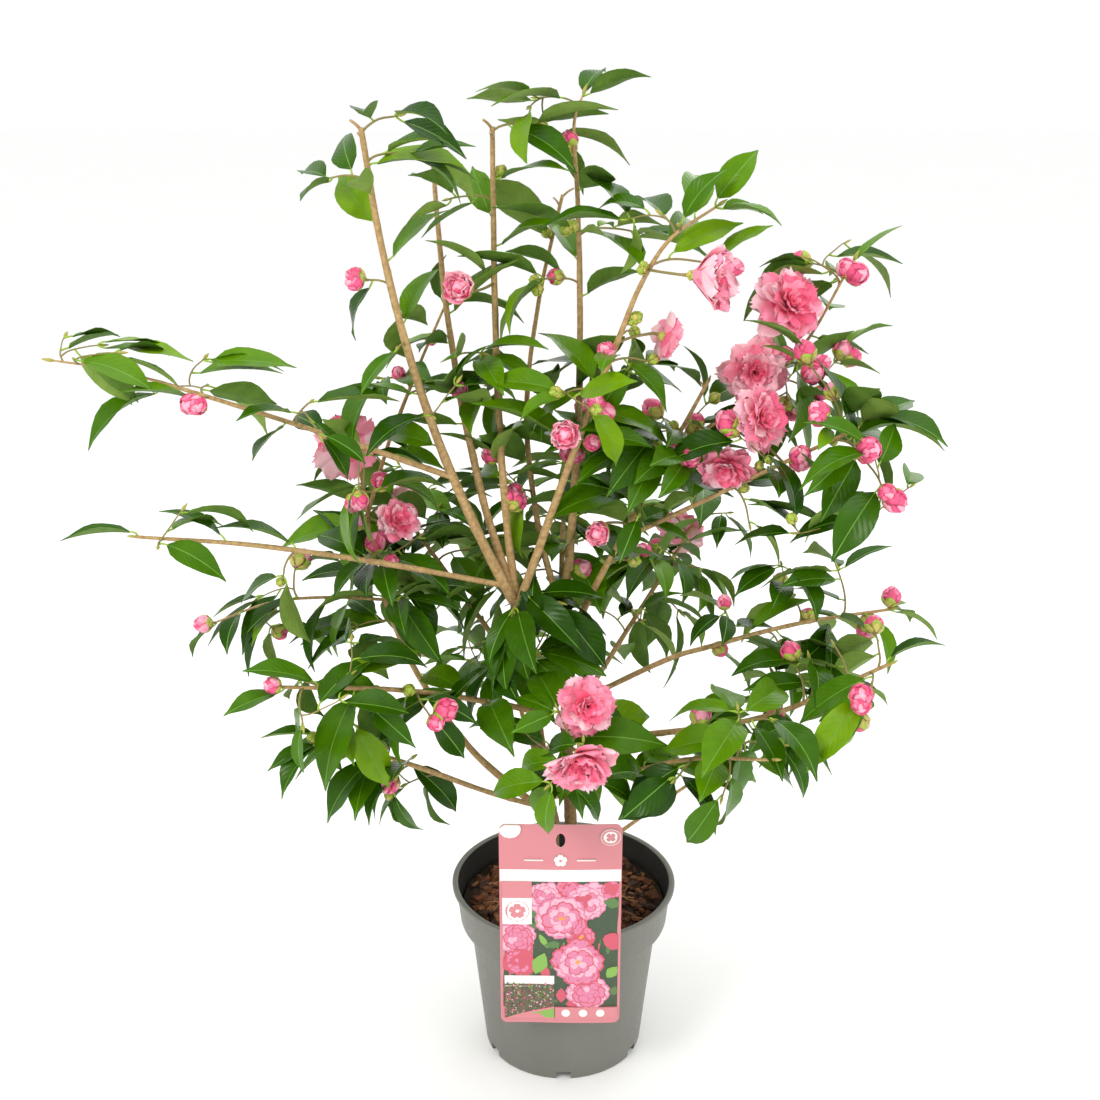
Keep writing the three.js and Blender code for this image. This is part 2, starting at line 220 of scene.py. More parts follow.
def makeStudio():
    camera = bpy.data.objects.new("camera", bpy.data.cameras.new("camera"))
    bpy.context.scene.collection.objects.link(camera)
    camera.location = studio["camera"]
    camera.rotation_euler = (math.radians(90 - studio["pitch"]), 0, 0)
    camera.data.lens = studio["lens"]
    camera.data.sensor_width = studio["sensor"]
    bpy.context.scene.camera = camera

    for name, (place, size, watts, colour) in studio["lamps"].items():
        lamp = bpy.data.lights.new(name, "AREA")
        lamp.size = size
        lamp.energy = watts
        lamp.color = hexToLinear(colour)[:3]
        holder = bpy.data.objects.new(name, lamp)
        holder.location = place
        aim = Vector(studio["lampTarget"]) - Vector(place)
        holder.rotation_euler = aim.to_track_quat("-Z", "Y").to_euler()
        bpy.context.scene.collection.objects.link(holder)

    world = bpy.data.worlds.new("studio")
    bpy.context.scene.world = world
    world.use_nodes = True
    background = world.node_tree.nodes["Background"]
    background.inputs["Color"].default_value = hexToLinear(studio["sky"])
    background.inputs["Strength"].default_value = studio["skyStrength"]
    bpy.context.scene.view_settings.view_transform = "Standard"

    floor = primitive(bpy.ops.mesh.primitive_plane_add, "floor", size=studio["floorSize"])
    # a roll of matt white paper, so only the faintest change of tone
    paper, tree, shader, point = newMaterial("studioPaper", {"Roughness": 0.9})
    grain = addNode(tree, "TexNoise", {
        "Vector": point, "Scale": 1 / studio["floorGrain"], "Detail": 3.0, "Roughness": 0.55,
    })
    colour = addNode(tree, "Mix", {
        0: grain, 6: hexToLinear(studio["floor"]), 7: hexToLinear("#ffffff"),
    }, 2, data_type="RGBA")
    tree.links.new(colour, shader.inputs["Base Color"])
    floor.data.materials.append(paper)


makeStudio()
print("studio ready")


# the limbs and masses, read back from the frame

def nodePoints(name):
    mesh = frame["nodes"][name].data
    points = np.empty(len(mesh.vertices) * 3)
    mesh.vertices.foreach_get("co", points)
    return np.unique(points.reshape(-1, 3).round(6), axis=0)


def nodeTriangles(name):
    mesh = frame["nodes"][name].data
    return [tuple(v.co) for v in mesh.vertices], [tuple(p.vertices) for p in mesh.polygons]


def slotNodes(slotName):
    return [part["node"] for part in frame["record"]["subparts"] if part["material_slot"] == slotName]


trunkNames = slotNodes("old_bark")
boughNames = slotNodes("young_bark")
massNames = slotNodes("foliage")
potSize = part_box("pot")[1]  # rim radius twice, and height
soilLow, soilTop = (corner[2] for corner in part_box("soil"))
labelLow, labelHigh = (np.array(corner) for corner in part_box("label"))
rootPoint = np.array([0.0, 0.0, soilTop])
reading = {
    "ringGap": 9 * mm,  # rings of a limb lie further apart than this
    "fineStep": 4 * mm,  # between the points of a limb's smooth line
    "joinReach": 12 * mm,  # a bough starts within this of its parent
    "thinnest": 1.1 * mm,  # radius
    "leafReach": 34 * mm,  # how far a mass passes its bough's tip, which its last leaves fill
    "reachShare": {"tip_upper_left": 0.35},
    "shortest": 30 * mm,  # of a bough's run inside its last mass
}


def readRings(name):  # a limb's rings from foot to tip: centres and radii
    points = nodePoints(name)
    centre = points.mean(axis=0)
    axis = np.linalg.svd(points - centre, full_matrices=False)[2][0]
    along = (points - centre) @ axis
    high, low = (np.linalg.norm(points[end] - rootPoint) for end in (along.argmax(), along.argmin()))
    if high < low:
        along = -along
    order = np.argsort(along)
    rings = [[order[0]]]
    for previous, here in zip(order, order[1:]):
        if along[here] - along[previous] > reading["ringGap"]:
            rings.append([])
        rings[-1].append(here)
    centres = np.array([points[ring].mean(axis=0) for ring in rings])
    radii = [np.linalg.norm(points[ring] - c, axis=1).mean() for ring, c in zip(rings, centres)]
    return centres, np.array(radii)


def smoothLine(points, radii):  # a fine line through a few points, with its radius and its reach
    points = np.asarray(points, float)
    radii = np.asarray(radii, float)
    padded = np.vstack([2 * points[0] - points[1], points, 2 * points[-1] - points[-2]])
    fine = []
    fineRadii = []
    for i in range(len(points) - 1):
        a, b, c, d = padded[i:i + 4]
        pieces = max(2, int(np.linalg.norm(c - b) / reading["fineStep"]))
        for t in np.arange(pieces) / pieces:
            fine.append(0.5 * (2 * b + (c - a) * t + (2 * a - 5 * b + 4 * c - d) * t ** 2
                               + (3 * b - a - 3 * c + d) * t ** 3))
            fineRadii.append(radii[i] + (radii[i + 1] - radii[i]) * t)
    fine = np.array(fine + [points[-1]])
    steps = np.linalg.norm(np.diff(fine, axis=0), axis=1)
    return {
        "points": fine,
        "radii": np.array(fineRadii + [radii[-1]]),
        "reach": np.concatenate([[0], np.cumsum(steps)]),
    }


def at(line, distance):  # place, direction and radius at a distance along a line
    reach = line["reach"]
    distance = min(max(distance, 0.0), reach[-1])
    place, before, after = (
        np.array([np.interp(distance + shift, reach, line["points"][:, k]) for k in range(3)])
        for shift in (0, -5 * mm, 5 * mm))
    return place, unit(after - before), float(np.interp(distance, reach, line["radii"]))


def readMass(name):
    points, faces = nodeTriangles(name)
    corners = np.array(points)
    triangles = corners[np.array(faces)]
    signed = np.einsum("ij,ij->i", triangles[:, 0], np.cross(triangles[:, 1], triangles[:, 2])) / 6
    return {
        "name": name,
        "tree": BVHTree.FromPolygons(points, faces),
        "low": corners.min(axis=0), "high": corners.max(axis=0),
        "points": corners, "litres": signed.sum() * 1000,
    }


masses = {name: readMass(name) for name in massNames}


def depthOutside(mass, place):  # distance to a mass's skin, below zero inside it
    skin, normal, _, distance = mass["tree"].find_nearest(Vector(place))
    return distance if (Vector(place) - skin).dot(normal) > 0 else -distance


def outsideCrown(place, margin=0.05):
    best = 1.0
    for mass in masses.values():
        if np.all(place > mass["low"] - margin) and np.all(place < mass["high"] + margin):
            best = min(best, depthOutside(mass, place))
    return best


def joinedTo(foot, limbs):  # the nearest point on the limbs read so far
    best = (1.0, None)
    for line in limbs.values():
        gaps = np.linalg.norm(line["points"] - foot, axis=1)
        if gaps.min() < best[0]:
            best = (gaps.min(), line["points"][gaps.argmin()])
    return best


def massAhead(end, heading):  # the mass whose skin lies just past a limb's end
    nearest = (8 * mm, None)
    for mass in masses.values():
        start = Vector(end - heading * 4 * mm)
        distance = mass["tree"].ray_cast(start, Vector(heading), 12 * mm)[3]
        if distance is not None and distance < nearest[0]:
            nearest = (distance, mass)
    return nearest[1]


def growInto(mass, end, heading, radius):  # carries a bough on through the mass it enters
    far = mass["points"][np.linalg.norm(mass["points"] - end, axis=1).argmax()]
    spare = reading["leafReach"] * reading["reachShare"].get(mass["name"], 1.0)
    length = max(np.linalg.norm(far - end) - spare, reading["shortest"])
    tip = end + unit(far - end) * length
    middle = (end + heading * length * 0.5 + (end + tip) / 2) / 2
    return [middle, tip], [max(radius * 0.8, 1.1 * mm), max(radius * 0.55, 0.9 * mm)]


def readBough(name, limbs):
    centres, radii = readRings(name)
    joint = joinedTo(centres[0], limbs)
    if joint[0] > reading["joinReach"]:
        return None  # its parent isn't read yet
    count = len(centres)
    if count > 3:
        slope, base = np.polyfit(np.arange(count)[1:-1], radii[1:-1], 1)
        radii = np.maximum(base + slope * np.arange(count), reading["thinnest"])
    else:
        radii = np.full(count, max(1.3 * mm, radii[1:-1].mean() if count > 2 else radii.min()))
    centres = list(np.vstack([joint[1], centres]))
    radii = [radii[0] * 1.1, *radii]
    end = centres[-1]
    heading = unit(end - centres[-2])
    mass = massAhead(end, heading)
    ends = mass and depthOutside(mass, end - heading * 18 * mm) > 6 * mm
    if ends:
        more, thinner = growInto(mass, end, heading, radii[-1])
        centres += more
        radii += thinner
    line = smoothLine(centres, radii)
    line["cut"] = not ends
    return line


def readLimbs():
    limbs = {}
    for name in trunkNames:
        limbs[name] = smoothLine(*readRings(name))
        limbs[name]["cut"] = False
    waiting = list(boughNames)
    while waiting:
        for name in list(waiting):
            line = readBough(name, limbs)
            if line:
                limbs[name] = line
                waiting.remove(name)
    return limbs


limbs = readLimbs()
print("limbs read:", len(limbs), "bare at the tip:", sum(line["cut"] for line in limbs.values()))


# a leaf: a closed thin blade, eleven points round each station, folded along its rib and arched

leaf = {
    "stations": 9, "ribHalf": 0.5 * mm, "thick": 0.4 * mm, "keel": 0.7 * mm,
    # over the half width: the upper side with the two edges of its rib, then the under side
    "across": (-1.0, -0.55, 0.0, 0.0, 0.55, 1.0, 1.0, 0.55, 0.0, -0.55, -1.0),
    "upper": 6,  # the first six lie on the upper side
    "widest": 0.86, "roundness": 0.72,  # powers that set the outline
    "lift": 0.10, "waves": 9.5,
    "petiole": 7 * mm, "petioleRadius": 0.9 * mm,
}


def leafWidths(share, slender):  # half width over the greatest half width, from base to tip
    swell = np.sin(np.pi * np.clip(share, 1e-4, 1) ** leaf["widest"])
    widths = np.abs(swell) ** (leaf["roundness"] + slender * share ** 2)
    return np.maximum(widths / widths.max(), 0.03)


def leafBlade(length, halfWidth, arch, fold, twist, wave, phase, slender):
    share = np.linspace(0, 1, leaf["stations"])
    share = share ** 0.92  # a little closer together towards the tip
    slope = leaf["lift"] - arch * share ** 1.15
    step = np.diff(share, prepend=0) * length
    middle = np.stack([np.cumsum(np.cos(slope) * step), 0 * share, np.cumsum(np.sin(slope) * step)], 1)
    normal = np.stack([-np.sin(slope), 0 * share, np.cos(slope)], 1)
    side = np.array([0.0, 1.0, 0.0])
    widths = leafWidths(share, slender) * halfWidth
    across = np.array(leaf["across"])
    turn = twist * share
    rows = []
    for i in range(len(share)):
        out = side * math.cos(turn[i]) + normal[i] * math.sin(turn[i])
        lift = normal[i] * math.cos(turn[i]) - side * math.sin(turn[i])
        reach = across * widths[i]
        reach[2] = -min(leaf["ribHalf"], widths[i] * 0.3)
        reach[3] = -reach[2]
        ripple = np.sin(share[i] * leaf["waves"] + phase + (across > 0) * 1.7)
        rise = np.abs(reach) * math.sin(fold) * (1.15 - 0.3 * np.abs(across))
        rise += wave * ripple * across ** 2 * widths[i]
        rise[leaf["upper"]:] -= leaf["thick"]
        rise[8] -= leaf["keel"] * (1 - share[i])
        rows.append(middle[i] + np.outer(reach * math.cos(fold), out) + np.outer(rise, lift))
    return np.concatenate(rows)


# rings joined into a tube, closed at both ends; from column under on, each face splits along its
# other diagonal, so that the two sides of a thin blade bend in the same places and never cross
def ringFaces(rows, columns, clockwise=False, under=None):
    faces = []
    for i in range(rows - 1):
        for j in range(columns):
            a = i * columns + j
            b = i * columns + (j + 1) % columns
            face = (a, b, b + columns, a + columns)
            faces.append(face if under is None or j < under else face[1:] + face[:1])
    last = (rows - 1) * columns
    faces.append(tuple(range(columns - 1, -1, -1)))
    faces.append(tuple(range(last, last + columns)))
    return [face[::-1] for face in faces] if clockwise else faces


leafColumns = len(leaf["across"])
leafFaces = ringFaces(leaf["stations"], leafColumns, clockwise=True, under=leaf["upper"])
leafEdge = np.tile(np.abs(leaf["across"]) == 1, leaf["stations"])
leafMap = np.stack([
    np.tile(np.array(leaf["across"]) * 0.5 + 0.5, leaf["stations"]),
    np.repeat(np.linspace(0, 1, leaf["stations"]), leafColumns),
], 1)


def leafFinish(upper, lower):  # strips of upper green with the rib between, edge, under side, edge
    rib = 2
    strips = [upper, upper, rib, upper, upper, upper] + [lower] * 4 + [upper]
    return strips * (leaf["stations"] - 1) + [lower, upper]


def tubePoints(line, radii, sides, relief=None):  # rings square to a line, without twist
    line = np.asarray(line, float)
    ahead = np.gradient(line, axis=0)
    ahead /= np.linalg.norm(ahead, axis=1)[:, None]
    side = unit(np.cross(ahead[0], (0.3, 0.9, 0.2)))
    angles = np.arange(sides) * 2 * np.pi / sides
    rows = []
    for i in range(len(line)):
        side = unit(side - ahead[i] * side.dot(ahead[i]))
        other = np.cross(ahead[i], side)
        radius = radii[i] if relief is None else radii[i] * relief[i][:, None]
        circle = np.outer(np.cos(angles), side) + np.outer(np.sin(angles), other)
        rows.append(line[i] + radius * circle)
    return np.concatenate(rows)


def addTube(heap, line, radii, sides, finish, relief=None, endFinish=None):
    faces = ringFaces(len(line), sides)
    finishes = [finish] * (len(faces) - 2) + [finish if endFinish is None else endFinish] * 2
    reach = np.concatenate([[0], np.cumsum(np.linalg.norm(np.diff(line, axis=0), axis=1))])
    uv = np.stack([np.tile(np.arange(sides) / sides, len(line)), np.repeat(reach * 10, sides)], 1)
    addShape(heap, tubePoints(line, radii, sides, relief), faces, finishes, uv)


def bendLine(start, heading, end, steps, pull=0.5):  # leaves start along heading and curves to end
    control = start + unit(heading) * np.linalg.norm(end - start) * pull
    t = np.linspace(0, 1, steps)[:, None]
    return (1 - t) ** 2 * start + 2 * t * (1 - t) * control + t ** 2 * end


# the rule by which the crown grows on from the limbs

growth = {
    "seed": 23,
    "turn": math.radians(137.5),  # from one leaf to the next round a twig
    "limbLeafGap": 30 * mm, "twigLeafGap": 19 * mm, "bareFoot": 16 * mm,
    "leafyBelow": 4.5 * mm,  # limbs thicker than this bear no leaves
    "leafLength": (64 * mm, 98 * mm), "widthShare": (0.20, 0.25),  # half width over length
    "spread": (42, 70),  # degrees between a leaf and its twig
    "arch": (18, 62), "fold": (10, 34), "twist": (-22, 22),  # degrees
    "wave": (0.03, 0.11), "phase": (0, 6.3), "slender": (0.55, 1.1),
    "droop": (-0.62, 0.18),  # at the foot of the crown and at its top
    # the leaves at a tip: turn between them, size, spread of the first and of the others
    "limbTip": (2.1, 0.9, ((6, 20), (26, 50))), "twigTip": (2.3, 0.86, ((8, 26), (28, 52))),
    "perLitre": 20, "fewest": 6, "most": 44,  # leaves of a mass
    "pastSkin": 15 * mm,  # how far a leaf may pass its mass
    "apart": 15 * mm, "tipApart": 10 * mm,  # between the middles of two leaves
    "twigLength": (38 * mm, 125 * mm), "twigRadius": 1.15 * mm, "leastRadius": 0.85 * mm,
    "shades": 5, "shadeShares": (3, 4, 4, 3, 1),  # dark sprays are commoner than bright ones
    "youngShare": 0.08, "youngSize": (0.35, 0.6),
    "budShare": 0.12,  # chance of a flower bud at a twig's end
    "tries": 5, "targets": 14, "twigTries": 40,  # for a leaf's place, a twig's target, a mass's twigs
    "boxSpare": 13 * mm,  # how far leaves may pass the whole outline
    "potSpare": 8 * mm, "rimSpare": 6 * mm, "labelSpare": 25 * mm, "labelReach": 75 * mm,
}
rule = random.Random(growth["seed"])
crownLow = min(mass["low"][2] for mass in masses.values())
crownHigh = max(mass["high"][2] for mass in masses.values())
boxLow = np.array(cadBox[0]) - growth["boxSpare"]
boxHigh = np.array(cadBox[1]) + growth["boxSpare"]
middles = []  # the middles of the leaves grown so far
clearings = []  # balls kept free of leaves, round the blossom
buds = []  # foot, direction and size of each flower bud, made later
leafHeap = newHeap()
twigHeap = newHeap()
budHeap = newHeap()
slack = 1.0  # how much further past its skin the mass in hand may spread


def clearOfPot(points):
    x, y, z = points.T
    low = z < potSize[2] + growth["rimSpare"]
    if np.any(low & (np.hypot(x, y) < potSize[0] + growth["potSpare"])):
        return False
    beside = (z < labelHigh[2] + growth["rimSpare"]) & (np.abs(x) < growth["labelReach"])
    return not np.any(beside & (y < -potSize[1] * 0.9) & (y > -potSize[1] - growth["labelSpare"]))


def clearOfFlowers(points):  # a flower keeps its own ball and the way it faces free
    for centre, radius, facing in clearings:
        away = points - centre
        ahead = away @ facing
        beside = np.linalg.norm(away - np.outer(ahead, facing), axis=1)
        if np.any(np.linalg.norm(away, axis=1) < radius * 0.85):
            return False
        if np.any((ahead > 0) & (ahead < radius * 2.2) & (beside < radius * 0.8)):
            return False
    return True


def roomFor(points, middle, apart):
    if middles and np.min(np.linalg.norm(np.array(middles) - middle, axis=1)) < apart:
        return False
    if np.any(points < boxLow) or np.any(points > boxHigh) or not clearOfPot(points):
        return False
    return clearOfFlowers(points)


def outwardAt(axis, turn):  # the direction square to an axis at a turn round it
    side, other = axesOf(axis, (0, 0, 1))[1:]
    return side * math.cos(turn) + other * math.sin(turn)


def jitter(amount):  # a small random shift along each axis
    return np.array([rule.uniform(-amount, amount) for _ in range(3)])


def growLeaf(foot, axis, radius, turn, shade, size=1.0, spread=None, apart=None, loose=1.0):
    height = (foot[2] - crownLow) / (crownHigh - crownLow)
    lowDroop, highDroop = growth["droop"]
    droop = lowDroop + (highDroop - lowDroop) * height ** 0.7
    for attempt in range(growth["tries"]):
        outward = outwardAt(axis, turn + (attempt > 0) * rule.uniform(-1.6, 1.6))
        lean = math.radians(rule.uniform(*(spread or growth["spread"])))
        direction = axis * math.cos(lean) + outward * math.sin(lean)
        direction[2] = direction[2] * 0.55 + droop + rule.uniform(-0.22, 0.22)
        direction = unit(direction)
        awayFromStem = unit(np.array([foot[0], foot[1], 0.0]))
        up = np.array([0, 0, 1.0]) + awayFromStem * (0.75 - 0.35 * height) + jitter(0.3)
        length = rule.uniform(*growth["leafLength"]) * size * (1 - 0.06 * attempt)
        halfWidth = length * rule.uniform(*growth["widthShare"])
        bends = [math.radians(rule.uniform(*growth[key])) for key in ("arch", "fold", "twist")]
        shape = [rule.uniform(*growth[key]) for key in ("wave", "phase", "slender")]
        stalk = foot + outward * radius * 0.6
        base = stalk + unit(direction + outward * 0.6) * leaf["petiole"]
        placed = base + leafBlade(length, halfWidth, *bends, *shape) @ axesOf(direction, up)
        middle = placed[leafColumns * (leaf["stations"] // 2)]
        past = growth["pastSkin"] * loose * slack
        fits = outsideCrown(placed[-1]) < past and outsideCrown(middle) < past * 0.6
        if fits and roomFor(placed, middle, apart or growth["apart"]):
            break
    else:
        return False
    middles.append(middle)
    lower = 0 if rule.random() < 0.6 else 1
    addShape(leafHeap, placed, leafFaces, leafFinish(3 + shade, lower), leafMap, leafEdge)
    keelFoot = placed[leafColumns + leaf["upper"] + 2]
    stem = bendLine(stalk, outward + axis * 0.3, base + (keelFoot - base) * 0.25, 4)
    addTube(twigHeap, stem, leaf["petioleRadius"] * np.array([1.25, 1.0, 0.95, 0.6]), 5, 2)
    return True


def growTip(end, count, turn, shade, tip):  # the leaves round the end of a limb or twig
    place, ahead, thick = end
    tipTurn, size, spreads = growth[tip]
    grown = 0
    for k in range(count):
        grown += growLeaf(place - ahead * 2 * mm, ahead, thick, turn + k * tipTurn, shade, size,
                          spreads[k > 0], growth["tipApart"], 1.7)
    return grown


def addLeafBud(foot, direction, length):  # a narrow scaly bud that ends a twig
    share = np.linspace(0.03, 0.985, 6)
    line = foot + np.outer(share * length, direction)
    swell = np.sin(np.pi * share ** 0.7) ** 0.8
    addTube(twigHeap, line, np.maximum(swell * length * 0.17, 0.25 * mm), 6, 3)


def addFlowerBud(place, direction, size=1.0):
    if clearOfFlowers(np.array([place + direction * 12 * mm])):
        buds.append((place, direction, size))


def endInBud(place, ahead, budChance, length):  # a flower bud, or else a leaf bud
    if rule.random() < budChance:
        addFlowerBud(place, ahead)
    else:
        addLeafBud(place - ahead * mm, ahead, rule.uniform(*length) * mm)


def growTwig(start, heading, end, radius, shade, budChance):
    bend = bendLine(start, heading, end, 5, 0.34)
    line = smoothLine(bend, np.linspace(radius, radius * 0.75, 5))
    wobble = jitter(1) * np.linalg.norm(end - start) * 0.02
    share = line["reach"] / line["reach"][-1]
    line["points"] = line["points"] + np.outer(np.sin(share * 9) * share, wobble)
    if not clearOfFlowers(line["points"][4:]):
        return None
    turn = rule.uniform(0, 6.28)
    distance = growth["bareFoot"]
    lastLeaf = 0
    while distance < line["reach"][-1] - 6 * mm:
        place, ahead, thick = at(line, distance)
        young = rule.random() < growth["youngShare"]
        size = rule.uniform(*growth["youngSize"]) if young else 0.92
        if growLeaf(place, ahead, thick, turn, growth["shades"] - 1 if young else shade, size):
            lastLeaf = distance
            if rule.random() < budChance * 0.3:
                addFlowerBud(place, unit(ahead + outwardAt(ahead, turn)), 0.8)
        turn += growth["turn"]
        distance += growth["twigLeafGap"] * rule.uniform(0.85, 1.25)
    end = at(line, line["reach"][-1])
    if not growTip(end, 3 if rule.random() < 0.5 else 2, turn, shade, "twigTip"):
        if not lastLeaf:
            return None
        keep = line["reach"] <= lastLeaf + 7 * mm  # a twig stops just past its last leaf
        line = {key: value[keep] for key, value in line.items()}
        end = at(line, line["reach"][-1])
    addTube(twigHeap, line["points"], line["radii"], 6, 0 if radius > 1.2 * mm else 1)
    endInBud(end[0], end[1], budChance, (7, 11))
    return line


def carriersOf(mass):  # the stretches of limb that run inside a mass
    found = []
    for line in limbs.values():
        inside = []
        for place, reach in zip(line["points"], line["reach"]):
            close = np.all(place > mass["low"] - 0.01) and np.all(place < mass["high"] + 0.01)
            if close and depthOutside(mass, place) < 5 * mm:
                inside.append(reach)
        if len(inside) > 2:
            found.append((line, inside[0], inside[-1]))
    return found


def freeTarget(mass):  # the point inside a mass that is furthest from the leaves grown so far
    best = (-1, None)
    wider = (slack - 1) * growth["pastSkin"] * 2  # a spreading mass sends its twigs past its skin
    low = mass["low"] - wider
    size = mass["high"] - mass["low"] + 2 * wider
    for _ in range(growth["targets"]):
        while True:
            target = low + size * np.array([rule.random() for _ in range(3)])
            if depthOutside(mass, target) < wider - 9 * mm:
                break
        nearest = min([np.linalg.norm(other - target) for other in middles] or [0.1])
        if nearest > best[0]:
            best = (nearest, target)
    return best[1]


def nearestStart(stretches, target, upward):  # where a twig or flower stalk leaves its limb
    best = (1.0, None, None, None)
    for line, first, last in stretches:
        use = (line["reach"] >= first - 1e-6) & (line["reach"] <= last)
        if not use.any():
            continue
        points = line["points"][use]
        gaps = np.linalg.norm(points - target, axis=1)
        gaps = gaps + np.maximum(points[:, 2] - target[2], 0) * upward  # it grows up and out
        if gaps.min() < best[0]:
            best = (gaps.min(), points[gaps.argmin()], line["reach"][use][gaps.argmin()], line)
    return best[1:]


wantedLeaves = {  # where the plain rule gives too many or too few
    "tip_upper_left": 8, "tip_lower_left": 9, "top_tall": 7, "top_left": 13, "top_middle": 10,
    "top_right": 13, "leaves_leader_left": 10, "leaves_middle": 9, "leaves_tall": 13,
    "leaves_inner": 26, "leaves_centre": 30, "leaves_left": 36, "leaves_right": 36,
    "leaves_lower_right": 34, "leaves_upper_right": 34, "leaves_front": 30,
    "leaves_front_left": 28, "leaves_low_left": 18, "leaves_leader_right": 20,
}
spreading = {  # masses whose sprays hang loose, past their skin
    "leaves_upper_right": 2.1, "leaves_right": 1.5, "leaves_lower_right": 1.9, "tip_lower_left": 1.3,
}
budding = {  # masses with more or fewer flower buds than growth["budShare"]
    "leaves_tall": 0.7, "top_middle": 0.15, "top_left": 0.0, "leaves_leader_right": 0.9,
    "leaves_right": 0.6, "leaves_middle": 0.5, "leaves_inner": 0.5, "leaves_upper_right": 0.75,
    "leaves_far_right": 0.6, "leaves_lower_right": 0.5, "leaves_twig_left": 0.9,
    "leaves_low_left": 0.3, "leaves_front_left": 0.3, "leaves_low_right": 0.4, "top_tall": 0.3,
    "top_right": 0.3,
}


def wholeLimbs():
    return [(line, 0, line["reach"][-1]) for line in limbs.values()]


def pickShade():
    return rule.choices(range(growth["shades"]), growth["shadeShares"])[0]


def growOnLimb(line, first, last, full, budChance):  # leaves that sit straight on a limb
    turn = rule.uniform(0, 6.28)
    shade = pickShade()
    distance = first + rule.uniform(2, 14) * mm
    while distance < last and len(middles) < full:
        place, ahead, thick = at(line, distance)
        if thick < growth["leafyBelow"]:
            growLeaf(place, ahead, thick, turn, shade)
            if rule.random() < budChance * 0.5:
                outward = outwardAt(ahead, turn)
                addFlowerBud(place + outward * thick * 0.7, unit(outward + ahead * 0.5))
        turn += growth["turn"]
        distance += growth["limbLeafGap"] * rule.uniform(0.8, 1.25)
    if last >= line["reach"][-1] - 1 * mm and not line["cut"]:
        end = at(line, last)
        growTip(end, 3, turn, shade, "limbTip")
        endInBud(end[0], end[1], budChance, (8, 12))


def growMass(mass):
    global slack
    slack = spreading.get(mass["name"], 1.0)
    plain = min(max(mass["litres"] * growth["perLitre"], growth["fewest"]), growth["most"])
    wanted = wantedLeaves.get(mass["name"], int(plain))
    before = len(middles)
    budChance = budding.get(mass["name"], growth["budShare"])
    stretches = carriersOf(mass)
    for line, first, last in list(stretches):
        growOnLimb(line, first, last, before + wanted * 0.6, budChance)
    for _ in range(growth["twigTries"]):
        if len(middles) - before >= wanted:
            break
        target = freeTarget(mass)
        usable = [(line, first, last - 4 * mm) for line, first, last in stretches or wholeLimbs()]
        start, reach, line = nearestStart(usable, target, 0.7)
        if start is None:
            continue
        gap = np.linalg.norm(target - start)
        length = min(max(gap, growth["twigLength"][0]), growth["twigLength"][1])
        if length != gap:
            target = start + unit(target - start) * length
        _, ahead, thick = at(line, reach)
        shade = pickShade()
        heading = unit(unit(target - start) + ahead * 0.7 + np.array([0, 0, 0.25]))
        radius = min(growth["twigRadius"], max(thick * 0.85, growth["leastRadius"]))
        twig = growTwig(start, heading, target, radius, shade, budChance)
        if twig:
            stretches.append((twig, 6 * mm, twig["reach"][-1]))


# flower buds: overlapping petals on an egg, held by pale scales

bud = {
    "length": (17, 26), "closedSize": 0.56, "plump": 0.40, "pinkShare": 0.68,
    "core": (0.02, 0.2, 0.5, 0.8, 0.985),  # rings of the egg inside
    "share": (0.0, 0.35, 0.7, 0.93), "widths": (0.75, 1.0, 0.8, 0.3),  # of a layer's blade
    "across": (-1.0, -0.35, 0.35, 1.0, 0.0),  # the last lies on its inner side
    # first and last share of the egg's height, how many, half width in degrees, lift, finish
    "pinkLayers": ((0.30, 1.0, 3, 62, 0.02, 1), (0.18, 0.93, 4, 54, 0.07, 0),
                   (0.10, 0.80, 4, 50, 0.12, 1)),
    "scaleLayers": ((0.02, 0.44, 4, 48, 0.16, 3), (0.0, 0.28, 4, 46, 0.21, 4)),
    "closedLayers": ((0.20, 0.92, 3, 58, 0.06, 3), (0.06, 0.74, 4, 52, 0.11, 4),
                     (0.0, 0.45, 4, 48, 0.16, 3)),
}
budColumns = len(bud["across"])
budFaces = ringFaces(len(bud["share"]), budColumns)


def eggPoint(share, angle, length, lift):
    swell = np.sin(np.pi * np.clip(share, 0.02, 0.985) ** 0.86) ** 0.62
    wide = length * bud["plump"] * swell * (1 + lift)
    return np.stack([wide * np.cos(angle), wide * np.sin(angle), share * length * (1 + lift * 0.3)], 1)


def addBud(foot, direction, length, closed):
    ahead, side, up = axesOf(direction, (0.1, 0.2, 1))
    axes = np.array([side, up, ahead])
    around = np.arange(8) * np.pi / 4
    core = [eggPoint(np.full(8, share), around, length, -0.06) for share in bud["core"]]
    faces = ringFaces(len(core), 8)
    addShape(budHeap, foot + np.concatenate(core) @ axes, faces, [3 if closed else 2] * len(faces))
    layers = bud["closedLayers"] if closed else bud["pinkLayers"] + bud["scaleLayers"]
    for low, high, count, half, lift, finish in layers:
        turn = rule.uniform(0, 6.28)
        for k in range(count):
            angle = turn + (k + rule.uniform(-0.1, 0.1)) * 2 * math.pi / count
            top = high * rule.uniform(0.94, 1.03)
            rows = []
            for share, width in zip(bud["share"], bud["widths"]):
                across = np.array(bud["across"])
                height = low + (top - low) * share - 0.05 * across ** 2 * share
                inner = np.where(np.arange(budColumns) == budColumns - 1, -0.14, 0.0)
                skew = lift + inner + 0.05 * across * (across < 0.9)
                rows.append(eggPoint(height, angle + across * math.radians(half) * width, length, skew))
            shown = finish if finish > 1 or rule.random() < 0.75 else (finish + 1) % 3
            addShape(budHeap, foot + np.concatenate(rows) @ axes, budFaces, [shown] * len(budFaces))


# blossom: double flowers, each petal a closed ruffled blade

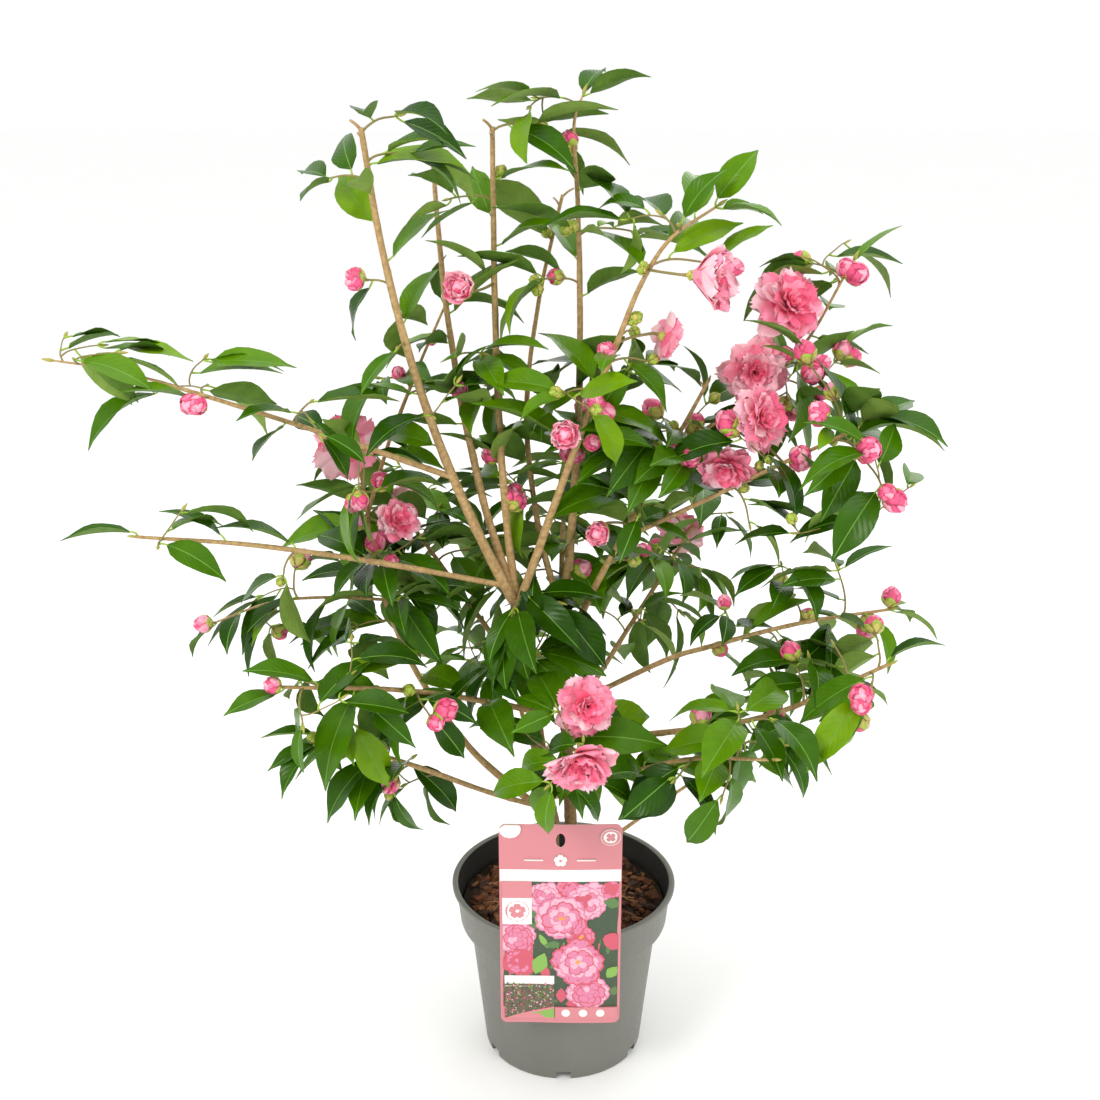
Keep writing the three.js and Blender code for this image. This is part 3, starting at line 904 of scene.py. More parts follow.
petal = {
    "share": (0.0, 0.22, 0.46, 0.70, 0.88, 1.0), "widths": (0.30, 0.66, 0.93, 1.0, 0.80, 0.42),
    "across": (-1.0, -0.72, -0.43, -0.14, 0.14, 0.43, 0.72, 1.0, 0.72, 0.43, 0.14, -0.14, -0.43, -0.72),
    "upper": 8, "thick": 0.3 * mm,  # the first eight lie on the upper side
    # petals in the ring, length and half width over the flower's width, degrees up from flat
    "rings": ((8, 0.50, 0.180, 4), (9, 0.46, 0.155, 20), (9, 0.39, 0.130, 38), (8, 0.31, 0.105, 54),
              (7, 0.23, 0.080, 68), (5, 0.16, 0.055, 80)),
    "tones": ((0, 0, 1), (0, 1, 1), (0, 1, 2), (1, 1, 2), (1, 2, 2), (2, 2, 1)),  # pale, pink, rose
    "halfOpen": 0.3,  # below this the outer three rings stand round a bud
    "sepals": 5, "sepalRings": 2,
}
petalColumns = len(petal["across"])
petalFaces = ringFaces(len(petal["share"]), petalColumns, clockwise=True, under=petal["upper"] - 1)
petalEdge = np.tile(np.isin(np.arange(petalColumns), (0, petal["upper"] - 1)), len(petal["share"]))
petalMap = np.stack([
    np.tile(np.array(petal["across"]) * 0.5 + 0.5, len(petal["share"])),
    np.repeat(petal["share"], petalColumns),
], 1)
petalHeap = newHeap()


def petalBlade(length, halfWidth, rise, curl, cup, ruffle, phase):  # x away from the middle, z up
    across = np.array(petal["across"])
    slope = rise - curl * np.array(petal["share"]) ** 1.3
    step = np.diff(petal["share"], prepend=0) * length
    middle = np.stack([np.cumsum(np.cos(slope) * step), np.cumsum(np.sin(slope) * step)], 1)
    rows = []
    for i, share in enumerate(petal["share"]):
        reach = across * halfWidth * petal["widths"][i]
        lift = cup * halfWidth * across ** 2 * (1 - 0.4 * share)
        lift = lift + ruffle * length * share ** 1.5 * np.sin(across * 4.6 + phase + share * 1.5)
        lift[petal["upper"]:] -= petal["thick"] * (1 if share < 0.99 else 0.5)
        fringe = 0.06 * np.exp(-(across / 0.25) ** 2) + 0.045 * np.cos(across * 10.9 + phase)
        back = share ** 2 * length * (0.10 * across ** 2 + fringe * (share > 0.95))
        along = middle[i, 0] - back * math.cos(slope[i]) - lift * math.sin(slope[i])
        up = middle[i, 1] - back * math.sin(slope[i]) + lift * math.cos(slope[i])
        rows.append(np.stack([along, reach, up], 1))
    return np.concatenate(rows)


def addPetal(heap, centre, axes, angle, blade, startOut, finish):
    turned = np.stack([
        (blade[:, 0] + startOut) * math.cos(angle) - blade[:, 1] * math.sin(angle),
        (blade[:, 0] + startOut) * math.sin(angle) + blade[:, 1] * math.cos(angle),
        blade[:, 2],
    ], 1)
    placed = centre + turned @ axes
    rows = len(petal["share"]) - 1
    deeper = min(finish + 1, 2) if finish < 3 else finish  # a petal is deeper at its foot
    finishes = [deeper] * petalColumns * 2 + [finish] * petalColumns * (rows - 2) + [deeper, finish]
    addShape(heap, placed, petalFaces, finishes, petalMap, petalEdge)


def addFlower(centre, facing, width, openness):
    ahead, side, up = axesOf(facing, (0, 0, 1))
    axes = np.array([side, up, ahead])
    rings = petal["rings"]
    if openness < petal["halfOpen"]:
        rings = rings[:3]
        addBud(centre, ahead, width * 0.46, False)
    for ring, (count, length, halfWidth, rise) in enumerate(rings):
        turn = rule.uniform(0, 6.28)
        for k in range(count):
            rises = math.radians(rise + (86 - rise) * (1 - openness) * 0.85 + rule.uniform(-9, 9))
            blade = petalBlade(
                width * length * rule.uniform(0.88, 1.08), width * halfWidth * rule.uniform(0.9, 1.15),
                rises, math.radians(rule.uniform(12, 52) * openness - 14 * (1 - openness)),
                rule.uniform(0.15, 0.5), rule.uniform(0.03, 0.075), rule.uniform(0, 6.3))
            angle = turn + (k + rule.uniform(-0.18, 0.18)) * 2 * math.pi / count
            finish = rule.choice(petal["tones"][ring])
            foot = centre + ahead * (ring * 0.012 * width)
            addPetal(petalHeap, foot, axes, angle, blade, 1.5 * mm, finish)
    for ring in range(petal["sepalRings"]):  # pale green scales that hold the flower
        foot = centre - ahead * (3.2 + ring * 1.4) * mm
        for k in range(petal["sepals"]):
            blade = petalBlade((9 - ring * 2) * mm, 4.6 * mm, math.radians(38 + 22 * (1 - openness)),
                               math.radians(-30), 0.5, 0.0, 0.0)
            angle = (k + ring * 0.5) * 2 * math.pi / petal["sepals"]
            addPetal(budHeap, foot, axes, angle, blade, 1.0 * mm, 3 + ring)


# mass the flower sits in, its place as shares of that mass's box, the way it faces, width, how open
flowers = {
    "sideFlower": ("top_right", (0.44, 0.10, 0.20), (0.86, -0.42, 0.02), 82, 0.36),
    "backFlower": ("leaves_flower_left", (0.44, 0.30, 0.80), (-0.35, 0.75, 0.25), 70, 0.95),
    "highFlower": ("leaves_far_right", (0.30, 0.30, 0.62), (0.35, -0.60, 0.50), 78, 0.95),
    "lowerFlower": ("leaves_far_right", (0.12, 0.25, 0.28), (0.10, -0.85, 0.10), 66, 0.85),
    "innerFlower": ("leaves_leader_right", (0.97, 0.62, 0.86), (0.65, 0.25, -0.25), 48, 0.8),
    "rightFlower": ("leaves_upper_right", (0.10, 0.60, 0.70), (0.55, -0.70, 0.30), 64, 0.9),
    "middleFlower": ("leaves_right", (0.84, 0.20, 0.55), (-0.15, -0.80, -0.35), 56, 0.8),
    "leftFlower": ("leaves_left", (0.56, 0.35, 0.93), (0.45, -0.60, 0.45), 46, 0.7),
    "hangingFlower": ("leaves_front", (0.51, 0.16, 0.74), (0.06, -0.80, -0.40), 72, 0.52),
    "lowFlower": ("leaves_front", (0.56, 0.50, 0.86), (0.25, -0.80, 0.25), 60, 0.9),
    "rearFlower": ("leaves_back_high", (0.60, 0.80, 0.72), (0.15, 0.80, 0.45), 58, 0.95),
    "rearLowFlower": ("leaves_back_left", (0.35, 0.80, 0.60), (-0.40, 0.80, 0.15), 56, 0.9),
    "rearRightFlower": ("leaves_back_right", (0.62, 0.78, 0.66), (0.40, 0.75, 0.20), 60, 0.9),
    "halfOpenLeft": ("leaves_middle", (0.24, 0.15, 0.98), (-0.30, -0.75, 0.30), 52, 0.18),
    "halfOpenMiddle": ("leaves_leader_right", (0.22, 0.25, 0.28), (-0.05, -0.85, 0.10), 52, 0.18),
    "halfOpenRight": ("leaves_right", (0.14, 0.25, 0.26), (-0.35, -0.75, -0.10), 48, 0.15),
}


def growFlowers():
    for massName, share, facing, width, openness in flowers.values():
        mass = masses[massName]
        facing = unit(np.array(facing))
        centre = mass["low"] + (mass["high"] - mass["low"]) * np.array(share)
        addFlower(centre, facing, width * mm, openness)
        clearings.append((centre + facing * width * 0.14 * mm, width * 0.5 * mm, facing))
        start = nearestStart(wholeLimbs(), centre, 1.0)[0]
        foot = centre - facing * 4 * mm
        way = [start, (start + foot) / 2 - facing * 6 * mm, foot - facing * 5 * mm, foot]
        stem = smoothLine(way, np.array([1.5, 1.3, 1.4, 1.9]) * mm)
        addTube(twigHeap, stem["points"], stem["radii"], 6, 1)


growFlowers()
print("flowers open", len(flowers), "petal faces", len(petalHeap["faces"]))

for mass in masses.values():
    growMass(mass)
print("crown grown: leaves", len(middles), "flower buds", len(buds))


def growBuds():
    for foot, direction, size in buds:
        direction = unit(direction + np.array([0, 0, 0.15]))
        pink = rule.random() < bud["pinkShare"]
        pair = 1 if rule.random() < 0.6 else 2
        for k in range(pair):
            turned = unit(direction + jitter(0.5) * (0.5 + k))
            length = rule.uniform(*bud["length"]) * mm * size * (1.0 if pink else bud["closedSize"])
            start = foot + turned * (1.5 + 3 * k) * mm
            stalk = np.array([foot - turned * mm, (foot + start) / 2, start + turned * mm])
            addTube(twigHeap, stalk, np.array([1.2, 1.3, 2.0]) * mm, 5, 1)
            addBud(start, turned, length, not pink)


growBuds()
print("buds grown: faces", len(budHeap["faces"]))


# finishes of the plant

def leafMaterial(name, colour, lighter, roughness, coat):
    # a waxy leaf: a thin clear coat of cutin over pulp, so a soft wide gleam over an even green
    material, tree, shader, point = newMaterial(name, {
        "Roughness": roughness, "Coat Weight": coat, "Coat Roughness": 0.22, "Specular IOR Level": 0.15,
    })
    mottle = addNode(tree, "TexNoise", {
        "Vector": point, "Scale": 1 / (14 * mm), "Detail": 3.0, "Roughness": 0.55,
    })
    cloud = addNode(tree, "MapRange", {"Value": mottle, "From Min": 0.35, "From Max": 0.7})
    shade = addNode(tree, "Mix", {
        0: cloud, 6: hexToLinear(colour), 7: hexToLinear(lighter),
    }, 2, data_type="RGBA")
    tree.links.new(shade, shader.inputs["Base Color"])
    # side veins slant forward from the rib, 7 mm apart on the blade
    place = addNode(tree, "SeparateXYZ", {0: addNode(tree, "UVMap", uv_map="leafMap")}).node.outputs
    offRib = addNode(tree, "Math", {0: place["X"], 1: 0.5}, operation="SUBTRACT")
    fromRib = addNode(tree, "Math", {0: offRib}, operation="ABSOLUTE")
    slant = addNode(tree, "Math", {0: fromRib, 1: -0.55, 2: place["Y"]}, operation="MULTIPLY_ADD")
    vein = addNode(tree, "Math", {0: slant, 1: 62.0}, operation="MULTIPLY")
    groove = addNode(tree, "Math", {0: vein}, operation="SINE")
    relief = addNode(tree, "Math", {0: groove, 1: 0.5, 2: mottle}, operation="MULTIPLY_ADD")
    bump = addNode(tree, "Bump", {"Height": relief, "Strength": 0.26, "Distance": 0.5 * mm})
    tree.links.new(bump, shader.inputs["Normal"])
    return material


def softMaterial(name, first, second, size, roughness, bump=0.2, depth=0.4 * mm, **more):
    # two tones clouded into each other at a real size, with a fine grain a quarter of that size
    material, tree, shader, point = newMaterial(name, {"Roughness": roughness, **more})
    cloud, grain = (addNode(tree, "TexNoise", {
        "Vector": point, "Scale": 1 / width, "Detail": 3.0, "Roughness": 0.55,
    }) for width in (size, size * 0.25))
    share = addNode(tree, "MapRange", {"Value": cloud, "From Min": 0.3, "From Max": 0.7})
    colour = addNode(tree, "Mix", {
        0: share, 6: hexToLinear(first), 7: hexToLinear(second),
    }, 2, data_type="RGBA")
    tree.links.new(colour, shader.inputs["Base Color"])
    raised = addNode(tree, "Bump", {"Height": grain, "Strength": bump, "Distance": depth})
    tree.links.new(raised, shader.inputs["Normal"])
    return material


leafFinishes = [
    leafMaterial("leafUnderOlive", "#55762a", "#638634", 0.62, 0.0),  # the under side has no wax: matt
    leafMaterial("leafUnderPale", "#75923e", "#84a24a", 0.62, 0.0),
    softMaterial("leafRib", "#568a1c", "#659a26", 10 * mm, 0.45),  # paler fibre, a bright line
    leafMaterial("leafDeep", "#204300", "#274f00", 0.27, 0.03),
    leafMaterial("leafDark", "#2e5600", "#366100", 0.27, 0.03),
    leafMaterial("leafMid", "#3d6900", "#467300", 0.28, 0.03),
    leafMaterial("leafFresh", "#4f7b00", "#5a8602", 0.29, 0.03),
    leafMaterial("leafBright", "#668f04", "#739b0a", 0.31, 0.03),
]
twigFinishes = [
    softMaterial("twigTan", "#ba9b68", "#917447", 5 * mm, 0.72, 0.5),  # last year's dry smooth bark
    softMaterial("twigYoung", "#9a8350", "#7b7a3e", 7 * mm, 0.6, 0.3),  # this year's green-brown shoot
    softMaterial("leafStalk", "#9fc02e", "#87ad2c", 6 * mm, 0.42),  # fresh green, a little waxy
    softMaterial("budScale", "#b3a34c", "#8f9a3c", 3 * mm, 0.5),  # papery tan green
    softMaterial("cutWood", "#d8c39a", "#c2a578", 2 * mm, 0.8, 0.4),  # pale dry end grain
]
petalFinishes = [  # thin moist petals: matt with a faint velvet rim
    softMaterial(name, first, second, 9 * mm, 0.55, 0.2, 0.3 * mm,
                 **{"Sheen Weight": 0.2, "Subsurface Weight": 0.12, "Subsurface Scale": 0.002})
    for name, first, second in (
        ("petalPale", "#ffccd7", "#ffbccb"),
        ("petalPink", "#ffa0ba", "#ff8aaa"),
        ("petalRose", "#fc7094", "#f35a84"),
    )
]
budFinishes = [  # tight petals with a soft shine, and thin downy scales that hold them
    softMaterial("budPink", "#fa8bac", "#ee6c92", 5 * mm, 0.45),
    softMaterial("budRose", "#e95a86", "#dc4676", 5 * mm, 0.45),
    softMaterial("budLight", "#ffb4c8", "#f79ab4", 5 * mm, 0.45),
    softMaterial("scaleGreen", "#b0c24a", "#98b03c", 4 * mm, 0.5),
    softMaterial("scaleTan", "#cdbb68", "#b3b450", 4 * mm, 0.5),
]


# bark: the limbs as meshes with relief, from young tan to old grey brown

bark = {
    "nodeGap": 34 * mm, "nodeSwell": 0.13, "lump": 0.05, "ridge": 0.05,
    "burl": ("left_trunk", 97 * mm, 9 * mm, 2.4, 0.35),  # limb, height, size, turn, swelling
    "stub": 11 * mm,
    # old stems are grey brown and deeply ridged, young boughs tan and nearly smooth
    "trunkBark": {"sides": 20, "age": 1.0, "skin": ("#94784f", "#6c5436")},
    "boughBark": {"sides": 12, "age": 0.3, "skin": ("#c3a472", "#99794a")},
}


def barkRelief(line, sides, seed, age):
    dice = np.random.default_rng(seed)
    angles = np.arange(sides) * 2 * np.pi / sides
    reach = line["reach"][:, None]
    relief = np.ones((len(reach), sides))
    for _ in range(5):  # slow lumps
        turns = dice.integers(1, 4)
        wave = reach / dice.uniform(9, 26) / mm + turns * angles + dice.uniform(0, 6)
        relief += bark["lump"] * 0.5 * np.sin(wave)
    for _ in range(4):  # ridges that run with the grain
        turns = dice.integers(3, sides // 2)
        wave = reach / dice.uniform(30, 70) / mm + turns * angles + dice.uniform(0, 6)
        relief += bark["ridge"] * age * 0.5 * np.sin(wave)
    place = dice.uniform(10, 30) * mm
    while place < line["reach"][-1]:  # swollen nodes with the scar of an old leaf
        facing = np.exp(-((angles - dice.uniform(0, 6.28) + np.pi) % (2 * np.pi) - np.pi) ** 2 / 0.9)
        swell = np.exp(-((reach - place) / (2.6 * mm)) ** 2)
        relief += bark["nodeSwell"] * swell * (0.35 + facing)
        place += bark["nodeGap"] * dice.uniform(0.6, 1.4)
    return relief


def burlRelief(line, sides):  # the one knuckle on the left trunk
    _, height, size, turn, swelling = bark["burl"]
    angles = np.arange(sides) * 2 * np.pi / sides
    swell = np.exp(-((line["reach"][:, None] - height) / size) ** 2)
    return swelling * swell * np.maximum(np.cos(angles - turn), 0) ** 2


def makeBark(pieceName, names, slotName):
    kind = bark[pieceName]
    heap = newHeap()
    for i, name in enumerate(names):
        line = limbs[name]
        relief = barkRelief(line, kind["sides"], 40 + i, kind["age"])
        if name == bark["burl"][0]:
            relief = relief + burlRelief(line, kind["sides"])
        addTube(heap, line["points"], line["radii"], kind["sides"], 0, relief, 1)
    piece = heapToPiece(pieceName, heap, [
        softMaterial(pieceName + "Skin", *kind["skin"], 4 * mm, 0.8, 0.8, 0.6 * mm),
        softMaterial(pieceName + "EndGrain", "#cdb188", "#b3936a", 1.5 * mm, 0.85, 0.4),
    ])
    finishPiece(piece, slotName, *names)


def growStubs():  # the pruned ends: a short dry spur beside each cut
    for name, line in limbs.items():
        if not line["cut"]:
            continue
        for k in range(2):
            place, ahead, thick = at(line, line["reach"][-1] - (2 + 9 * k) * mm)
            side = axesOf(ahead, (rule.uniform(-1, 1), rule.uniform(-1, 1), 0.2))[2]
            tip = place + (ahead * 0.8 + side) * bark["stub"] * rule.uniform(0.6, 1.1)
            radii = np.array([0.75, 0.6, 0.5]) * thick
            stub = smoothLine([place, (place + tip) / 2 + ahead * mm, tip], radii)
            addTube(twigHeap, stub["points"], stub["radii"], 6, 0, None, 4)


growStubs()
makeBark("trunkBark", trunkNames, "old_bark")
makeBark("boughBark", boughNames, "young_bark")
finishPiece(heapToPiece("twigs", twigHeap, twigFinishes), "young_bark")
finishPiece(heapToPiece("leaves", leafHeap, leafFinishes), "foliage", *massNames)
finishPiece(heapToPiece("blossom", petalHeap, petalFinishes), "foliage")
finishPiece(heapToPiece("flowerBuds", budHeap, budFinishes), "foliage")
print("plant pieces made")


# pot: one closed wall, drawn up ring by ring, with drainage notches cut in its foot

pot = {
    "sides": 96, "smoothBelow": 38,  # degrees
    "rings": (  # radius and height of the outside, from the foot up to the lip
        (81.0, 0.0), (82.0, 0.8), (82.6, 3.0), (86.2, 38.0), (90.4, 78.0), (96.3, 133.0), (97.4, 138.0),
        (100.0, 141.6), (104.2, 143.6), (106.6, 145.6), (107.6, 148.6), (111.2, 183.0), (112.4, 184.4),
        (114.6, 184.8), (115.4, 185.8), (115.5, 187.4), (114.8, 188.7), (113.6, 189.0),
    ),
    "inside": (  # then down the inside to the floor
        (111.0, 189.0), (109.6, 188.2), (109.0, 186.0), (105.4, 149.0), (104.0, 146.8), (101.0, 145.0),
        (96.2, 141.0), (94.6, 137.0), (88.2, 78.0), (80.6, 5.2), (79.0, 3.0),
    ),
    "notches": 6, "notchWidth": 15 * mm, "notchHeight": 9 * mm, "notchDepth": 9 * mm,
}


def drawRings(rings):  # extrudes the selected face up to each ring in turn
    radius, height = rings[0]
    for nextRadius, nextHeight in rings[1:]:
        rise = (0, 0, (nextHeight - height) * mm)
        bpy.ops.mesh.extrude_region_move(TRANSFORM_OT_translate={"value": rise})
        grow = nextRadius / radius
        bpy.ops.transform.resize(value=(grow, grow, 1), center_override=(0, 0, nextHeight * mm))
        radius, height = nextRadius, nextHeight


def cutWith(piece, cutter):  # a settled cutter, taken away afterwards
    settle(cutter)
    applyModifier(piece, "BOOLEAN", object=cutter, operation="DIFFERENCE", solver="EXACT")
    bpy.data.objects.remove(cutter)


def paintFaces(piece, chosen, finish):
    for face in piece.data.polygons:
        if chosen(face.center, face.normal):
            face.material_index = finish


def insidePot(place, normal):  # the wall's inner side and the floor, up to the lip
    away = Vector((place.x, place.y, 0)).normalized()
    wall = normal.dot(away) < -0.3 and place.z < pot["inside"][0][1] * mm - 1 * mm
    return wall or (normal.z > 0.6 and place.z < 20 * mm)


def makePot():
    foot = pot["rings"][0][0] * mm
    piece = primitive(bpy.ops.mesh.primitive_circle_add, "nurseryPot", vertices=pot["sides"],
                      radius=foot, fill_type="NGON")
    editAll(piece)
    drawRings(pot["rings"] + pot["inside"])
    bpy.ops.mesh.select_all(action="SELECT")
    bpy.ops.mesh.normals_make_consistent(inside=False)
    bpy.ops.object.mode_set(mode="OBJECT")
    for k in range(pot["notches"]):
        angle = (k + 0.5) * 2 * math.pi / pot["notches"]
        cutWith(piece, primitive(
            bpy.ops.mesh.primitive_cube_add, "notchCutter", size=1,
            location=(foot * math.cos(angle), foot * math.sin(angle), 0), rotation=(0, 0, angle),
            scale=(pot["notchDepth"] * 2, pot["notchWidth"], pot["notchHeight"] * 2)))
    takeUp(piece)
    bpy.ops.object.shade_smooth_by_angle(angle=math.radians(pot["smoothBelow"]))
    for material in potFinishes:
        piece.data.materials.append(material)
    paintFaces(piece, insidePot, 1)
    finishPiece(piece, "pot_plastic", "pot")


def mouldedPlastic(name, colour, lighter, roughness):
    # moulded polypropylene: satin, with the mould's spark grain, handling scuffs and a little dust
    material, tree, shader, point = newMaterial(name, {"Roughness": roughness, "IOR": 1.49})
    upright = addNode(tree, "Mapping", {"Vector": point, "Scale": (1, 1, 0.35)})
    flow = addNode(tree, "TexNoise", {
        "Vector": upright, "Scale": 1 / (60 * mm), "Detail": 3.0, "Roughness": 0.55,
    })
    dust = addNode(tree, "TexNoise", {
        "Vector": point, "Scale": 1 / (7 * mm), "Detail": 5.0, "Roughness": 0.7,
    })
    # the grain is drawn at 1.2 mm, coarser than the real 0.2 mm, so that it shows
    grain = addNode(tree, "TexNoise", {
        "Vector": point, "Scale": 1 / (1.2 * mm), "Detail": 3.0, "Roughness": 0.55,
    })
    flowShare = addNode(tree, "MapRange", {"Value": flow, "From Min": 0.3, "From Max": 0.7})
    cloud = addNode(tree, "Mix", {
        0: flowShare, 6: hexToLinear(colour), 7: hexToLinear(lighter),
    }, 2, data_type="RGBA")
    dustShare = addNode(tree, "MapRange", {"Value": dust, "From Min": 0.62, "From Max": 0.85, "To Max": 0.35})
    dusty = addNode(tree, "Mix", {0: dustShare, 6: cloud, 7: hexToLinear("#a19c90")}, 2, data_type="RGBA")
    tree.links.new(dusty, shader.inputs["Base Color"])
    gleam = addNode(tree, "MapRange", {
        "Value": dust, "From Min": 0.3, "From Max": 0.8,
        "To Min": roughness - 0.06, "To Max": roughness + 0.12,
    })
    tree.links.new(gleam, shader.inputs["Roughness"])
    bump = addNode(tree, "Bump", {"Height": grain, "Strength": 0.12, "Distance": 0.15 * mm})
    tree.links.new(bump, shader.inputs["Normal"])
    return material


potFinishes = [
    mouldedPlastic("mouldedTaupePolypropylene", "#6a6a62", "#71716a", 0.46),
    mouldedPlastic("mouldedBlackPolypropylene", "#232220", "#2b2a27", 0.5),
]
makePot()
print("pot made")


# soil: a bed of dark fines with bark chips heaped on it

soil = {
    "sides": 64, "insets": 9, "rough": 2.4 * mm, "sunk": 1.5 * mm,
    "chips": 760, "chipLength": (5, 15), "chipThick": (1.6, 4.2), "edge": 3.0 * mm,
    "straws": 46, "strawLength": (9, 22), "strawRadius": (0.35, 0.8),
}


def bedHeight(x, y):
    away = math.hypot(x, y) / (potSize[0] * 0.93)
    swell = 2.6 * math.sin(x * 61) * math.cos(y * 53) + 1.6 * math.sin(x * 133 + y * 97)
    return soilTop - soil["sunk"] - 2 * mm * away ** 3 + swell * 0.5 * mm


def makeSoilBed():
    radius = potSize[0] * 0.915
    foot = pot["inside"][-2][0]
    shoulder = [size - 1 for size in pot["inside"][-4]]  # a millimetre inside the pot's own step
    rings = ((foot, soilLow / mm), shoulder, (radius * 0.985 / mm, shoulder[1] + 9),
             (radius * 0.985 / mm, soilTop / mm))
    piece = primitive(bpy.ops.mesh.primitive_circle_add, "soilBed", vertices=soil["sides"],
                      radius=foot * mm, fill_type="NGON", location=(0, 0, soilLow))
    settle(piece)
    editAll(piece)
    drawRings(rings)
    for _ in range(soil["insets"]):
        bpy.ops.mesh.inset(thickness=radius / (soil["insets"] + 1) * 0.98, depth=0)
    bpy.ops.mesh.poke()
    bpy.ops.mesh.select_all(action="SELECT")
    bpy.ops.mesh.normals_make_consistent(inside=False)
    bpy.ops.object.mode_set(mode="OBJECT")
    dice = random.Random(5)
    for vertex in piece.data.vertices:
        if vertex.co.z > soilTop - 1 * mm:
            height = bedHeight(vertex.co.x, vertex.co.y)
            vertex.co.z = height + dice.uniform(-0.5, 0.5) * soil["rough"]
    piece.data.materials.append(compost)
    finishPiece(piece, "bark_compost", "soil")


chipCorners = np.array([(-1, -1, -1), (1, -1, -1), (1, 1, -1), (-1, 1, -1),
                        (-1, -1, 1), (1, -1, 1), (1, 1, 1), (-1, 1, 1)]) * 0.5
chipFaces = [(0, 3, 2, 1), (4, 5, 6, 7), (0, 1, 5, 4), (1, 2, 6, 5), (2, 3, 7, 6), (3, 0, 4, 7)]


def turnedAxes(dice, tilt):  # a random turn, mostly flat on the soil
    heading = dice.uniform(0, 2 * np.pi)
    along = np.array([math.cos(heading), math.sin(heading), dice.normal(0, tilt)])
    return axesOf(along, (dice.normal(0, tilt), dice.normal(0, tilt), 1.0))


def spotOnSoil(dice, reach):
    away = math.sqrt(dice.random()) * reach
    angle = dice.uniform(0, 2 * np.pi)
    return away * math.cos(angle), away * math.sin(angle)


def makeChips():
    dice = np.random.default_rng(31)
    heap = newHeap()
    reach = potSize[0] * 0.9
    for _ in range(soil["chips"]):
        length = dice.uniform(*soil["chipLength"]) * mm * (1 if dice.random() < 0.6 else 0.6)
        x, y = spotOnSoil(dice, reach - length / 2 - soil["edge"])
        size = np.array([length, length * dice.uniform(0.4, 0.8), dice.uniform(*soil["chipThick"]) * mm])
        corners = chipCorners * (1 + dice.normal(0, 0.16, (8, 3)))
        place = np.array([x, y, bedHeight(x, y) + dice.uniform(0.0, 4.4) * mm])
        points = place + (corners * size) @ turnedAxes(dice, 0.42)
        if np.hypot(points[:, 0], points[:, 1]).max() < reach:
            addShape(heap, points, chipFaces, [int(dice.integers(0, 4))] * 6)
    for _ in range(soil["straws"]):
        x, y = spotOnSoil(dice, reach - 24 * mm)
        axes = turnedAxes(dice, 0.28)
        half = axes[0] * dice.uniform(*soil["strawLength"]) * mm / 2
        place = np.array([x, y, bedHeight(x, y) + dice.uniform(3.5, 6.5) * mm])
        bow = axes[1] * dice.uniform(-3, 3) * mm
        line = np.array([place - half, place + bow * 0.8, place + half])
        addTube(heap, line, np.full(3, dice.uniform(*soil["strawRadius"]) * mm), 5, 4)
    finishPiece(heapToPiece("barkChips", heap, chipFinishes, smooth=False), "bark_compost")


# composted pine bark: rough, dull, damp brown with a fibrous grain
compost = softMaterial("barkFines", "#2a1a10", "#3d2716", 3 * mm, 0.9, 0.9, 1.2 * mm)
chipFinishes = [
    softMaterial("barkChipDark", "#4a2b18", "#341e12", 3 * mm, 0.85, 0.8, 0.8 * mm),
    softMaterial("barkChipBrown", "#714323", "#55301a", 3 * mm, 0.85, 0.8, 0.8 * mm),
    softMaterial("barkChipRed", "#84502c", "#64381f", 3 * mm, 0.8, 0.8, 0.8 * mm),
    softMaterial("barkChipPale", "#a06c42", "#7c4d2c", 3 * mm, 0.8, 0.8, 0.8 * mm),
    softMaterial("strawBit", "#b98c5c", "#94683c", 3 * mm, 0.75, 0.4),
]
makeSoilBed()
makeChips()
print("soil made")


# label: a waved card that hangs on the lip by its tongue, printed with flowers and no words

card = {
    "width": labelHigh[0] - labelLow[0], "height": labelHigh[2] - labelLow[2], "thick": 1.0 * mm,
    "corner": 7 * mm, "wave": 1.3 * mm, "slotDown": 17 * mm, "slotWidth": 9 * mm, "slotHeight": 15 * mm,
    "columns": 16, "rows": 9,  # it is bent along these
    "tongueWidth": 26 * mm, "tongueDrop": 20 * mm, "tongueThick": 0.8 * mm,
    "inkLow": 0.02 * mm, "inkHigh": 0.06 * mm, "inkStep": 0.0016 * mm,  # each shape lies a step higher
}
cardMiddle = (labelLow[0] + labelHigh[0]) / 2


def cardWave(x, z):  # how far the card bows towards the front
    across = (x - cardMiddle) / card["width"]
    up = (z - labelLow[2]) / card["height"]
    bow = math.sin(across * 5.6 + 0.5 + up * 0.8) * (0.35 + 0.65 * abs(up - 0.45))
    return card["wave"] * (bow - 0.2)


